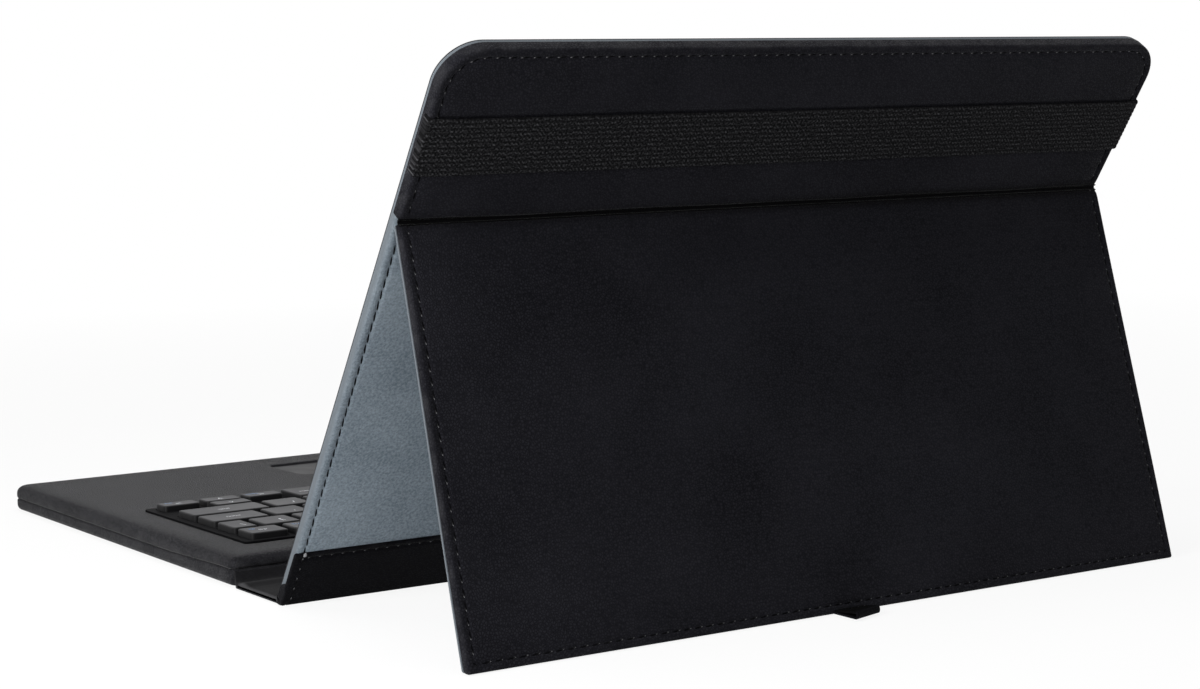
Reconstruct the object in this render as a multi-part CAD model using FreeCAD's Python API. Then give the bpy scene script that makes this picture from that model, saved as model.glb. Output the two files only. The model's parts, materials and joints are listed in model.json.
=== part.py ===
import FreeCAD, Part
import math
import os

# Tablet keyboard case, standing open as a stand.
# X is the user's right, Y points to the back, Z is up, and the middle of the
# base's underside is the origin. All sizes are millimetres and degrees.

Vector = FreeCAD.Vector
Placement = FreeCAD.Placement
Rotation = FreeCAD.Rotation

# Overall sizes
case_width = 268.0
base_depth = 212.0
panel_height = 208.0
spine_length = 34.5
crease_height = 151.5
panel_lean = 34.5
flap_lean = 15.3

# Sheet materials
leather = 0.8
suede = 0.7
lining = 0.8
elastic = 0.8
cover_board = 1.5
panel_board = 1.7
spine_board = 0.6

# Fits
hinge_room = 1.6
leaf_gap = 0.3
close_fit = 0.15
screw_fit = 0.05

# Base layers, counted up from the table
cover_layer = 4.4
pad_layer = 5.6
base_front_corner = 6.0
base_rear_corner = 3.0
pad_edge_round = 2.6
cover_edge_round = 1.5
seam_round = 0.5
pad_wall = 1.6

# Keyboard housing
housing_skin = 0.8
housing_wall = 1.2
housing_rear_corner = 1.0
tray_side_margin = 14.5
tray_rear_margin = 20.0
tray_depth = 90.0
tray_lip = 0.8
tray_overlap = 1.4
tray_corner = 2.0
rim_wall = 0.8
web_thickness = 1.2
touchpad_width = 64.0
touchpad_depth = 33.0
touchpad_corner = 3.0
touchpad_front_margin = 23.0
touchpad_sink = 1.0
touchpad_thickness = 1.0
touch_board_margin = 2.0
touch_board_thickness = 0.8
post_width = 4.0
screw_radius = 0.8
screw_head = 1.6
screw_inset = 9.0
boss_radius = 2.2
screw_bite = 0.4

# Switch layers, battery and control board
support_thickness = 0.4
membrane_thickness = 0.3
dome_thickness = 0.3
sheet_play = 1.0
battery_length = 70.0
battery_width = 60.0
battery_thickness = 1.9
battery_inset = 16.0
battery_gap = 10.05
controller_length = 70.0
controller_width = 52.0
controller_thickness = 0.5
chip_size = 10.0
chip_thickness = 1.0

# Charging socket and power switch, on the user's left
socket_from_front = 46.0
socket_width = 7.5
socket_height = 2.0
socket_length = 5.5
socket_shell = 0.3
socket_tongue_width = 4.0
switch_from_front = 22.0
switch_travel = 3.0
knob_width = 3.0
knob_height = 1.2
knob_lift = 0.6
knob_recess = 0.4
slide_length = 6.0
slide_depth = 2.1
switch_depth = 4.0
switch_shoulder = 2.0
switch_play = 0.1

# Keys
key_gap = 2.6
key_units = 14
key_side_margin = 3.5
key_front_margin = 3.4
key_rear_margin = 2.8
front_row_depth = 17.8
rear_row_depth = 12.0
arrow_gap = 1.4
key_stand = 2.2
key_travel = 1.5
key_clearance = 0.3
key_flange = 0.4
flange_thickness = 0.7
flange_play = 0.1
key_wall = 0.8
key_roof = 1.0
key_corner = 1.2
key_bevel = 0.4
stem_width = 3.0
cup_width = 5.0
cup_bore = 3.6
cup_reach = 0.2

# Cover details
panel_top_corner = 13.0
panel_foot_corner = 3.0
panel_edge_round = 0.5
leather_edge_round = 0.5
flap_corner = 2.0
tongue_inset = 3.0
hem_height = 20.0
strap_width = 20.0
strap_above_crease = 16.5
strap_tuck = 15.0
strap_bend = 0.6
corner_strap_width = 14.0
corner_strap_reach = 46.0
corner_strap_rise = 2.6
tab_width = 11.5
tab_length = 12.0
tab_thickness = 1.0
tab_offset = 3.0
tab_corner = 3.5
tab_curl_radius = 6.0
tab_curl_angle = 45.0

# Heights inside the base
base_top = cover_layer + pad_layer
floor_top = cover_layer + housing_skin
lid_top = base_top - leather
lid_bottom = lid_top - housing_skin
support_top = floor_top + support_thickness
membrane_top = support_top + membrane_thickness
dome_sheet_top = membrane_top + dome_thickness
plate_top = base_top + tray_lip
web_bottom = plate_top - web_thickness
key_top = plate_top + key_stand
flange_top = web_bottom - flange_play
key_bottom = flange_top - flange_thickness
cup_top = key_bottom + cup_reach
touch_top = base_top - touchpad_sink
touch_board_top = touch_top - touchpad_thickness

# Plan positions
half_width = case_width / 2
half_depth = base_depth / 2
tray_half_width = half_width - tray_side_margin
tray_back = half_depth - tray_rear_margin
tray_front = tray_back - tray_depth
opening_half = tray_half_width - tray_overlap + close_fit
opening_front = tray_front + tray_overlap - close_fit
opening_back = tray_back - tray_overlap + close_fit
touchpad_front = touchpad_front_margin - half_depth
touchpad_back = touchpad_front + touchpad_depth
side_face = half_width - pad_wall
housing_half = side_face - close_fit
housing_reach = half_depth - pad_wall - close_fit
inner_x = housing_half - housing_wall
inner_y = housing_reach - housing_wall
socket_y = socket_from_front - half_depth
socket_bottom = floor_top
switch_y = switch_from_front - half_depth
knob_bottom = floor_top + knob_lift
tongue_half = half_width - tongue_inset

# Key field: the three middle rows share the depth that the front and rear rows leave
key_field = 2 * (tray_half_width - key_side_margin)
key_unit = (key_field + key_gap) / key_units
row_room = tray_depth - key_front_margin - key_rear_margin - front_row_depth - rear_row_depth
key_depth = (row_room - 4 * key_gap) / 3
arrow_depth = (front_row_depth - arrow_gap) / 2

# Hinge lines, each running along X
spine_thickness = leather + spine_board + suede
hinge_height = spine_thickness / 2
base_hinge_y = half_depth + hinge_room
panel_hinge_y = base_hinge_y + spine_length
panel_angle = 90.0 - panel_lean

# Depths in the panel, counted from its hinge line and positive to the front
panel_back = -hinge_height
panel_front = panel_back + suede + panel_board + lining
flap_inner = panel_back - leaf_gap
cover_inner = flap_inner - suede
cover_mid = cover_inner - cover_board
cover_outer = cover_mid - leather
crease_depth = cover_outer + leather / 2

# The crease in the leaning panel, and the flap that reaches from it to the table
panel_turn = math.radians(panel_angle)
crease_y = panel_hinge_y + crease_height * math.cos(panel_turn) - crease_depth * math.sin(panel_turn)
crease_z = hinge_height + crease_height * math.sin(panel_turn) + crease_depth * math.cos(panel_turn)
flap_angle = 90.0 + flap_lean
flap_turn = math.radians(flap_angle)
foot_depth = flap_inner - crease_depth
flap_length = (crease_z + foot_depth * math.cos(flap_turn)) / math.sin(flap_turn)
flap_open = flap_angle - panel_angle


def block(x0, x1, y0, y1, z0, z1):
    return Part.makeBox(x1 - x0, y1 - y0, z1 - z0, Vector(x0, y0, z0))


def slab(x0, x1, y0, y1, z0, z1, front_radius, back_radius):
    # A flat plate whose front and back corners are rounded in plan.
    corners = [
        (x0, y0, front_radius, 180),
        (x1, y0, front_radius, 270),
        (x1, y1, back_radius, 0),
        (x0, y1, back_radius, 90),
    ]
    points = []
    for x, y, radius, start in corners:
        cx = x + radius if x == x0 else x - radius
        cy = y + radius if y == y0 else y - radius
        arc = []
        for step in (0, 45, 90):
            angle = math.radians(start + step)
            arc.append(Vector(cx + radius * math.cos(angle), cy + radius * math.sin(angle), z0))
        points.append((radius, arc))
    edges = []
    for i, (radius, arc) in enumerate(points):
        if radius > 0:
            edges.append(Part.Arc(arc[0], arc[1], arc[2]).toShape())
        following = points[(i + 1) % len(points)][1]
        edges.append(Part.makeLine(arc[2], following[0]))
    face = Part.Face(Part.Wire(Part.__sortEdges__(edges)))
    return face.extrude(Vector(0, 0, z1 - z0))


def round_level(shape, level, radius):
    # Rounds every edge that lies at one height.
    edges = []
    for edge in shape.Edges:
        bounds = edge.BoundBox
        if abs(bounds.ZMin - level) < 1e-4 and abs(bounds.ZMax - level) < 1e-4:
            edges.append(edge)
    return shape.makeFillet(radius, edges)


def rod(y, z, radius, length):
    # A round bar along X, centred on the middle of the case.
    return Part.makeCylinder(radius, length, Vector(-length / 2, y, z), Vector(1, 0, 0))


os.makedirs("parts", exist_ok=True)


def export(node, shape):
    shape.exportStep("parts/" + node + ".step")


# Base cover: a leather tray whose tongue runs back to a rolled edge on the hinge line
cover = slab(
    -half_width, half_width, -half_depth, half_depth, 0, cover_layer, base_front_corner, base_rear_corner,
)
cover = round_level(cover, 0, cover_edge_round)
cover = round_level(cover, cover_layer, seam_round)
base_board = slab(
    -half_width + leather, half_width - leather, -half_depth + leather, half_depth - leather,
    leather, cover_layer, base_front_corner - leather, base_rear_corner - leather,
)
tongue = block(
    -tongue_half, tongue_half, half_depth - leather, base_hinge_y,
    hinge_height - leather / 2, hinge_height + leather / 2,
)
base_roll = rod(base_hinge_y, hinge_height, leather / 2, 2 * tongue_half)
export("base_cover", cover.cut(base_board).fuse([tongue, base_roll]).removeSplitter())
export("base_board", base_board)

# Slots in the left side for the charging socket and the power switch
wall_reach = pad_wall + close_fit + housing_wall
socket_slot = block(
    -half_width, -half_width + wall_reach, socket_y - socket_width / 2 - leaf_gap,
    socket_y + socket_width / 2 + leaf_gap, socket_bottom, socket_bottom + socket_height + leaf_gap / 2,
)
switch_slot = block(
    -half_width, -half_width + wall_reach, switch_y - knob_width / 2 - leaf_gap,
    switch_y + knob_width / 2 + switch_travel + leaf_gap, knob_bottom - leaf_gap,
    knob_bottom + knob_height + leaf_gap / 2,
)

# Padded leather over the keyboard housing, open over the keys and the touchpad
wrap = slab(
    -half_width, half_width, -half_depth, half_depth, cover_layer, base_top,
    base_front_corner, base_rear_corner,
)
wrap = round_level(wrap, base_top, pad_edge_round)
wrap = round_level(wrap, cover_layer, seam_round)
housing_room = slab(
    -side_face, side_face, -half_depth + pad_wall, half_depth - pad_wall,
    cover_layer, lid_top, base_front_corner - pad_wall, base_rear_corner - pad_wall,
)
key_opening = block(-opening_half, opening_half, opening_front, opening_back, lid_bottom, base_top)
touchpad_opening = slab(
    -touchpad_width / 2, touchpad_width / 2, touchpad_front, touchpad_back,
    lid_bottom, base_top, touchpad_corner, touchpad_corner,
)
wrap = wrap.cut(housing_room).cut(key_opening).cut(touchpad_opening)
export("pad_wrap", wrap.cut(socket_slot).cut(switch_slot))

# Keyboard housing in two halves, held by countersunk screws from below
screw_x = inner_x - screw_inset
screw_y = inner_y - screw_inset / 2
screw_spots = []
for x in (-screw_x, 0.0, screw_x):
    for y in (-screw_y, screw_y):
        screw_spots.append((x, y))
for x in (-screw_x, screw_x):
    screw_spots.append((x, tray_front - screw_inset))


def housing_outline(z0, z1):
    return slab(
        -housing_half, housing_half, -housing_reach, housing_reach, z0, z1,
        base_front_corner - pad_wall - close_fit, housing_rear_corner,
    )


floor = housing_outline(cover_layer, lid_bottom)
floor = floor.cut(block(-inner_x, inner_x, -inner_y, inner_y, floor_top, lid_bottom))
board_half = touchpad_width / 2 + touch_board_margin
board_front = touchpad_front - touch_board_margin
board_back = touchpad_back + touch_board_margin
board_bottom = touch_board_top - touch_board_thickness
posts = []
for x in (-board_half, board_half - post_width):
    for y in (board_front, board_back - post_width):
        posts.append(block(x, x + post_width, y, y + post_width, floor_top, board_bottom))
floor = floor.fuse(posts)
lid = housing_outline(lid_bottom, lid_top)
boss_height = lid_bottom - floor_top
bosses = []
pilots = []
screws = []
for x, y in screw_spots:
    head = Part.makeCone(screw_head, screw_radius, housing_skin, Vector(x, y, cover_layer))
    shank = Part.makeCylinder(screw_radius, boss_height + screw_bite, Vector(x, y, floor_top))
    screws.append(head.fuse(shank).removeSplitter())
    seat = Part.makeCone(
        screw_head + screw_fit, screw_radius + screw_fit, housing_skin, Vector(x, y, cover_layer),
    )
    floor = floor.cut(seat)
    bosses.append(Part.makeCylinder(boss_radius, boss_height, Vector(x, y, floor_top)))
    pilots.append(Part.makeCylinder(
        screw_radius + screw_fit, boss_height + screw_bite + screw_fit, Vector(x, y, floor_top),
    ))
lid = lid.fuse(bosses).cut(pilots).cut(key_opening).cut(touchpad_opening)
export("housing_floor", floor.cut(socket_slot).cut(switch_slot).removeSplitter())
export("housing_screws", Part.makeCompound(screws))
export("housing_lid", lid.removeSplitter())

# Where every key sits: node, left, right, front and back edge
rows = [
    (front_row_depth, [
        ("control_key", 1, 1), ("function_key", 1, 1), ("symbol_key", 1, 1), ("left_alt_key", 1, 1),
        ("space_bar", 5, 1), ("right_alt_key", 1, 1), ("menu_key", 1, 1),
    ]),
    (key_depth, [("left_shift_key", 2.05, 1), ("lower_letter_keys", 1, 10), ("right_shift_key", 1.95, 1)]),
    (key_depth, [("caps_key", 1.55, 1), ("home_letter_keys", 1, 11), ("enter_key", 1.45, 1)]),
    (key_depth, [("tab_key", 1.3, 1), ("upper_letter_keys", 1, 12), ("backslash_key", 0.7, 1)]),
    (rear_row_depth, [("escape_key", 1, 1), ("number_keys", 1, 12), ("delete_key", 1, 1)]),
]
key_spots = []
row_front = tray_front + key_front_margin
for depth, entries in rows:
    left = -key_field / 2
    for node, units, count in entries:
        for _ in range(count):
            right = left + units * key_unit - key_gap
            key_spots.append((node, left, right, row_front, row_front + depth))
            left = right + key_gap
    row_front = row_front + depth + key_gap

# The arrow keys are half as deep; the two in the middle column are stacked
for node, column, stacked in (
    ("left_arrow_key", 11, 0), ("down_arrow_key", 12, 0), ("up_arrow_key", 12, 1), ("right_arrow_key", 13, 0),
):
    left = -key_field / 2 + column * key_unit
    front = tray_front + key_front_margin + stacked * (arrow_depth + arrow_gap)
    key_spots.append((node, left, left + key_unit - key_gap, front, front + arrow_depth))


def pillar(x, y, width, z0, z1):
    return block(x - width / 2, x + width / 2, y - width / 2, y + width / 2, z0, z1)


def keycap(x0, x1, y0, y1):
    # A hollow cap with a bevelled top, a retaining flange and a stem in the middle.
    cap = slab(x0, x1, y0, y1, key_bottom, key_top, key_corner, key_corner)
    rim = [e for e in cap.Edges if abs(e.BoundBox.ZMin - key_top) < 1e-4]
    cap = cap.makeChamfer(key_bevel, rim)
    flange = block(x0 - key_flange, x1 + key_flange, y0 - key_flange, y1 + key_flange, key_bottom, flange_top)
    room = block(
        x0 + key_wall, x1 - key_wall, y0 + key_wall, y1 - key_wall, key_bottom, key_top - key_roof,
    )
    stem = pillar((x0 + x1) / 2, (y0 + y1) / 2, stem_width, cup_top + flange_play, key_top - key_roof / 2)
    return cap.fuse(flange).cut(room).fuse(stem).removeSplitter()


caps = {}
holes = []
cups = []
for node, x0, x1, y0, y1 in key_spots:
    caps.setdefault(node, []).append(keycap(x0, x1, y0, y1))
    holes.append(block(
        x0 - key_clearance, x1 + key_clearance, y0 - key_clearance, y1 + key_clearance,
        lid_bottom, plate_top,
    ))
    middle_x = (x0 + x1) / 2
    middle_y = (y0 + y1) / 2
    cup = pillar(middle_x, middle_y, cup_width, dome_sheet_top, cup_top)
    cups.append(cup.cut(pillar(middle_x, middle_y, cup_bore, dome_sheet_top, cup_top)))
for node, solids in caps.items():
    export(node, solids[0] if len(solids) == 1 else Part.makeCompound(solids))

# Key plate: its lip lies on the leather and its rim drops through the opening
rim_half = tray_half_width - tray_overlap
rim_front = tray_front + tray_overlap
rim_back = tray_back - tray_overlap
lip = slab(
    -tray_half_width, tray_half_width, tray_front, tray_back, base_top, plate_top, tray_corner, tray_corner,
)
rim_block = block(-rim_half, rim_half, rim_front, rim_back, lid_bottom, base_top)
rim_room = block(
    -rim_half + rim_wall, rim_half - rim_wall, rim_front + rim_wall, rim_back - rim_wall,
    lid_bottom, web_bottom,
)
key_plate = lip.fuse(rim_block).cut(rim_room).cut(Part.makeCompound(holes))
export("key_plate", key_plate.removeSplitter())

# Switch layers under the keys
sheet_half = rim_half - sheet_play
sheet_front = rim_front + sheet_play
sheet_back = rim_back - sheet_play
export("support_plate", block(-sheet_half, sheet_half, sheet_front, sheet_back, floor_top, support_top))
export("membrane", block(-sheet_half, sheet_half, sheet_front, sheet_back, support_top, membrane_top))
dome_sheet = block(-sheet_half, sheet_half, sheet_front, sheet_back, membrane_top, dome_sheet_top)
export("dome_sheet", dome_sheet.fuse(cups).removeSplitter())

# Touchpad in its sunk opening, on a small board that stands on posts
export("touchpad", slab(
    -touchpad_width / 2 + close_fit, touchpad_width / 2 - close_fit, touchpad_front + close_fit,
    touchpad_back - close_fit, touch_board_top, touch_top, touchpad_corner - close_fit,
    touchpad_corner - close_fit,
))
export("touchpad_board", block(
    -board_half, board_half, board_front, board_back, board_bottom, touch_board_top,
))

# Battery and control board under the palm rest
battery_left = board_half + battery_gap
export("battery", block(
    battery_left, battery_left + battery_length, tray_front - battery_inset - battery_width,
    tray_front - battery_inset, floor_top, floor_top + battery_thickness,
))
controller_left = -inner_x + leaf_gap
controller_front = switch_y - switch_shoulder - slide_length
controller_top = floor_top + controller_thickness
controller = block(
    controller_left, controller_left + controller_length, controller_front,
    controller_front + controller_width, floor_top, controller_top,
)
chip = pillar(
    controller_left + controller_length / 2, controller_front + controller_width / 2, chip_size,
    controller_top, controller_top + chip_thickness,
)
socket_notch = block(
    controller_left, controller_left + socket_length + leaf_gap, socket_y - socket_width / 2 - leaf_gap,
    socket_y + socket_width / 2 + leaf_gap, floor_top, controller_top,
)
export("controller_board", controller.fuse(chip).cut(socket_notch))

# Charging socket: a metal shell with a contact tongue, set into the side wall
socket_face = -side_face + close_fit
socket_back = socket_face + socket_length
shell = block(
    socket_face, socket_back, socket_y - socket_width / 2, socket_y + socket_width / 2,
    socket_bottom, socket_bottom + socket_height,
)
shell_room = block(
    socket_face, socket_back - socket_shell, socket_y - socket_width / 2 + socket_shell,
    socket_y + socket_width / 2 - socket_shell, socket_bottom + socket_shell,
    socket_bottom + socket_height - socket_shell,
)
contact = block(
    socket_face + socket_shell, socket_back - socket_shell, socket_y - socket_tongue_width / 2,
    socket_y + socket_tongue_width / 2, socket_bottom + socket_height / 2 - socket_shell / 2,
    socket_bottom + socket_height / 2 + socket_shell / 2,
)
export("charging_port", shell.cut(shell_room).fuse(contact).removeSplitter())

# Power switch: a slider in an open-fronted body, its knob sunk in the leather's side
switch_face = -inner_x + leaf_gap
slide_front = switch_y - slide_length / 2
slide_back = switch_y + slide_length / 2
switch_body = block(
    switch_face, switch_face + switch_depth, slide_front - switch_shoulder,
    slide_back + switch_travel + switch_shoulder, controller_top, lid_bottom - switch_play,
)
slide_room = block(
    switch_face, switch_face + slide_depth + 2 * switch_play, slide_front - leaf_gap,
    slide_back + switch_travel + leaf_gap, knob_bottom - switch_play / 2,
    knob_bottom + knob_height + switch_play,
)
export("switch_body", switch_body.cut(slide_room))
knob = block(
    -half_width + knob_recess, switch_face + 2 * switch_play, switch_y - knob_width / 2,
    switch_y + knob_width / 2, knob_bottom, knob_bottom + knob_height,
)
slide = block(
    switch_face + switch_play, switch_face + switch_play + slide_depth, slide_front, slide_back,
    knob_bottom, knob_bottom + knob_height,
)
export("power_switch", knob.fuse(slide).removeSplitter())

# Spine: leather outside, a stiff strip and a suede liner, ending in a rolled edge
spine_start = base_hinge_y + leather / 2 + leaf_gap
spine_end = panel_hinge_y - hinge_room
spine_tray = block(-half_width, half_width, spine_start, spine_end, 0, leather + spine_board)
spine_room = block(
    -half_width + leather, half_width - leather, spine_start + leather, spine_end - leather,
    leather, leather + spine_board,
)
spine_tongue = block(
    -tongue_half, tongue_half, spine_end - leather, panel_hinge_y,
    hinge_height - leather / 2, hinge_height + leather / 2,
)
spine_roll = rod(panel_hinge_y, hinge_height, leather / 2, 2 * tongue_half)
spine_tray = spine_tray.cut(spine_room)
spine_liner = block(-half_width, half_width, spine_start, spine_end, leather + spine_board, spine_thickness)
spine_tongue = spine_tongue.cut(spine_liner).cut(spine_room)
export("spine_leather", spine_tray.fuse([spine_tongue, spine_roll]).removeSplitter())
export("spine_board", spine_room)
export("spine_liner", spine_liner)

# The panel and its cover are drawn lying flat from the panel hinge line, then leaned back
stand_up = Placement(Vector(0, panel_hinge_y, hinge_height), Rotation(Vector(1, 0, 0), panel_angle))
panel_foot = hinge_room
panel_head = panel_height


def lean_back(node, shape):
    shape.Placement = stand_up.multiply(shape.Placement)
    export(node, shape)


def panel_outline(inset, z0, z1):
    return slab(
        -half_width + inset, half_width - inset, panel_foot + inset, panel_head - inset,
        z0, z1, panel_foot_corner - inset, panel_top_corner - inset,
    )


lining_back = panel_front - lining
panel_suede = panel_outline(0, panel_back, lining_back)
panel_suede = round_level(panel_suede, panel_back, panel_edge_round)
panel_core = panel_outline(suede, panel_back + suede, lining_back)
lean_back("panel_suede", panel_suede.cut(panel_core))
lean_back("panel_board", panel_outline(suede, panel_back + suede, lining_back))
panel_lining = panel_outline(0, lining_back, panel_front)
lean_back("panel_lining", round_level(panel_lining, panel_front, panel_edge_round))

# The hem band turns under the panel's lower edge and reaches the rolled edge of the spine
hem = slab(
    -half_width, half_width, panel_foot, panel_foot + hem_height, panel_back - leather, panel_back,
    panel_foot_corner, 0.5,
)
hem_turn = block(
    -tongue_half, tongue_half, leather / 2 + leaf_gap, panel_foot, panel_back - leather, leather / 2,
)
lean_back("panel_hem", hem.fuse(hem_turn).removeSplitter())

# Elastic corner straps bow a little off the lining and end at the panel's edges
strap_chord = corner_strap_reach * math.sqrt(2) + 2 * corner_strap_width
bow_chord = strap_chord - 2 * corner_strap_width - 6
panel_prism = panel_outline(1.0, panel_front, panel_front + 10)
for node, side, end in (
    ("corner_strap_bottom_left", -1, 0), ("corner_strap_bottom_right", 1, 0),
    ("corner_strap_top_left", -1, 1), ("corner_strap_top_right", 1, 1),
):
    top_arc = Part.Arc(
        Vector(-bow_chord / 2, 0, elastic), Vector(0, 0, corner_strap_rise + elastic),
        Vector(bow_chord / 2, 0, elastic),
    ).toShape()
    low_arc = Part.Arc(
        Vector(bow_chord / 2 - 1.0, 0, 0), Vector(0, 0, corner_strap_rise),
        Vector(-bow_chord / 2 + 1.0, 0, 0),
    ).toShape()
    outline = [
        Part.makeLine(Vector(-strap_chord / 2, 0, elastic), Vector(-bow_chord / 2, 0, elastic)),
        top_arc,
        Part.makeLine(Vector(bow_chord / 2, 0, elastic), Vector(strap_chord / 2, 0, elastic)),
        Part.makeLine(Vector(strap_chord / 2, 0, elastic), Vector(strap_chord / 2, 0, 0)),
        Part.makeLine(Vector(strap_chord / 2, 0, 0), Vector(bow_chord / 2 - 1.0, 0, 0)),
        low_arc,
        Part.makeLine(Vector(-bow_chord / 2 + 1.0, 0, 0), Vector(-strap_chord / 2, 0, 0)),
        Part.makeLine(Vector(-strap_chord / 2, 0, 0), Vector(-strap_chord / 2, 0, elastic)),
    ]
    band = Part.Face(Part.Wire(outline)).extrude(Vector(0, corner_strap_width, 0))
    band.translate(Vector(0, -corner_strap_width / 2, panel_front))
    turn = 45 * side * (1 if end == 0 else -1)
    edge_y = panel_head if end else panel_foot
    toward = -1 if end else 1
    band.Placement = Placement(
        Vector(side * (half_width - corner_strap_reach / 2), edge_y + toward * corner_strap_reach / 2, 0),
        Rotation(Vector(0, 0, 1), turn),
    ).multiply(band.Placement)
    lean_back(node, band.common(panel_prism))

# Cover above the crease: leather over board over suede, with a rolled edge on the crease line
cover_head = slab(
    -half_width, half_width, crease_height, panel_head, cover_outer, cover_inner, 0.0, panel_top_corner,
)
cover_head = round_level(cover_head, cover_outer, leather_edge_round)
cover_room = slab(
    -half_width + leather, half_width - leather, crease_height, panel_head - leather,
    cover_mid, cover_inner, 0.0, panel_top_corner - leather,
)
crease_roll = rod(crease_height, crease_depth, leather / 2, 2 * tongue_half)
lean_back("top_cover_leather", cover_head.cut(cover_room).fuse(crease_roll).removeSplitter())
lean_back("top_cover_board", slab(
    -half_width + leather, half_width - leather, crease_height + leaf_gap, panel_head - leather,
    cover_mid, cover_inner, 0.0, panel_top_corner - leather,
))
strap_low = crease_height + strap_above_crease
strap_high = strap_low + strap_width
leg_bottom = cover_inner + 0.1
leg_top = leg_bottom + elastic
top_suede = slab(
    -half_width, half_width, crease_height + leaf_gap, panel_head, cover_inner, panel_back,
    0.0, panel_top_corner,
)
for side in (-1, 1):
    notch_x = side * (half_width - strap_tuck / 2)
    notch = block(
        notch_x - strap_tuck / 2 - 1, notch_x + strap_tuck / 2 + 1, strap_low - leaf_gap,
        strap_high + leaf_gap, cover_inner, panel_back,
    )
    top_suede = top_suede.cut(notch)
lean_back("top_cover_suede", top_suede)

# Elastic closing strap: round the cover's side edges and tucked in behind them
strap_half = half_width + elastic
strap = block(-strap_half, strap_half, strap_low, strap_high, cover_outer - elastic, leg_top)
strap = strap.cut(block(-half_width, half_width, strap_low, strap_high, cover_outer, leg_bottom))
strap = strap.cut(block(
    -half_width + strap_tuck, half_width - strap_tuck, strap_low, strap_high, leg_bottom, leg_top,
))
bends = []
for edge in strap.Edges:
    bounds = edge.BoundBox
    if bounds.YLength > strap_width - 0.1 and strap_half - abs(bounds.Center.x) < 1e-3:
        bends.append(edge)
lean_back("closure_strap", strap.makeFillet(strap_bend, bends))

# Stand flap: drawn folded flat on the panel, then swung out until its foot is on the table
swing = Placement(
    Vector(0, 0, 0), Rotation(Vector(1, 0, 0), flap_open), Vector(0, crease_height, crease_depth),
)
flap_head = crease_height - leather / 2 - leaf_gap
flap_foot = crease_height - flap_length


def swing_out(node, shape):
    shape.Placement = swing.multiply(shape.Placement)
    lean_back(node, shape)


flap = slab(-half_width, half_width, flap_foot, flap_head, cover_outer, cover_inner, flap_corner, 0.0)
flap = round_level(flap, cover_outer, leather_edge_round)
flap_room = slab(
    -half_width + leather, half_width - leather, flap_foot + leather, flap_head - leather,
    cover_mid, cover_inner, flap_corner - leather, 0.0,
)
swing_out("flap_leather", flap.cut(flap_room))
swing_out("flap_board", flap_room)
swing_out("flap_suede", slab(
    -half_width, half_width, flap_foot, flap_head, cover_inner, flap_inner, flap_corner, 0.0,
))

# Pull tab: a short leather tongue at the flap's free edge, lying back with its end curled up
half_tab = tab_thickness / 2
foot_y = crease_y - flap_length * math.cos(flap_turn) + leather / 2 * math.sin(flap_turn)
tab_y = foot_y + half_tab + leaf_gap
tab_z = half_tab + leaf_gap
tab_curl = math.radians(tab_curl_angle)
inner_curl = tab_curl_radius - half_tab
outer_curl = tab_curl_radius + half_tab
tab_flat = tab_length - outer_curl * math.sin(tab_curl)


def curl_point(radius, angle):
    return Vector(0, tab_flat + radius * math.sin(angle), outer_curl - radius * math.cos(angle))


tab_edges = [
    Part.makeLine(Vector(0, 0, 0), curl_point(outer_curl, 0)),
    Part.Arc(
        curl_point(outer_curl, 0), curl_point(outer_curl, tab_curl / 2), curl_point(outer_curl, tab_curl),
    ).toShape(),
    Part.makeLine(curl_point(outer_curl, tab_curl), curl_point(inner_curl, tab_curl)),
    Part.Arc(
        curl_point(inner_curl, tab_curl), curl_point(inner_curl, tab_curl / 2), curl_point(inner_curl, 0),
    ).toShape(),
    Part.makeLine(curl_point(inner_curl, 0), Vector(0, 0, tab_thickness)),
    Part.Arc(
        Vector(0, 0, tab_thickness), Vector(0, -half_tab, half_tab), Vector(0, 0, 0),
    ).toShape(),
]
tab = Part.Face(Part.Wire(tab_edges)).extrude(Vector(tab_width, 0, 0))
tab.translate(Vector(tab_offset - tab_width / 2, tab_y, tab_z - half_tab))
tab_plan = slab(
    tab_offset - tab_width / 2, tab_offset + tab_width / 2, tab_y - tab_thickness,
    tab_y + tab_length, 0, tab_length, 0.0, tab_corner,
)
export("pull_tab", tab.common(tab_plan))
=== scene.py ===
# %% [markdown]
# # Dressing a tablet keyboard case around its CAD frame
# The case is a leather folder that stands open like an easel: a flat base with
# a keyboard, a spine, a tablet panel that leans back, and a flap that props the
# panel up from behind. The CAD frame already has the boards, the keyboard
# housing and every hinge. What a frame lacks is cloth: this lesson models the
# leather, suede, elastic and thread as meshes on top of it. Modelling freehand
# would be quicker to start, but then nothing would fit when the case folds.

# %% Load the frame
import json
import math

import bmesh
import bpy
from mathutils import Matrix, Vector, noise


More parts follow.
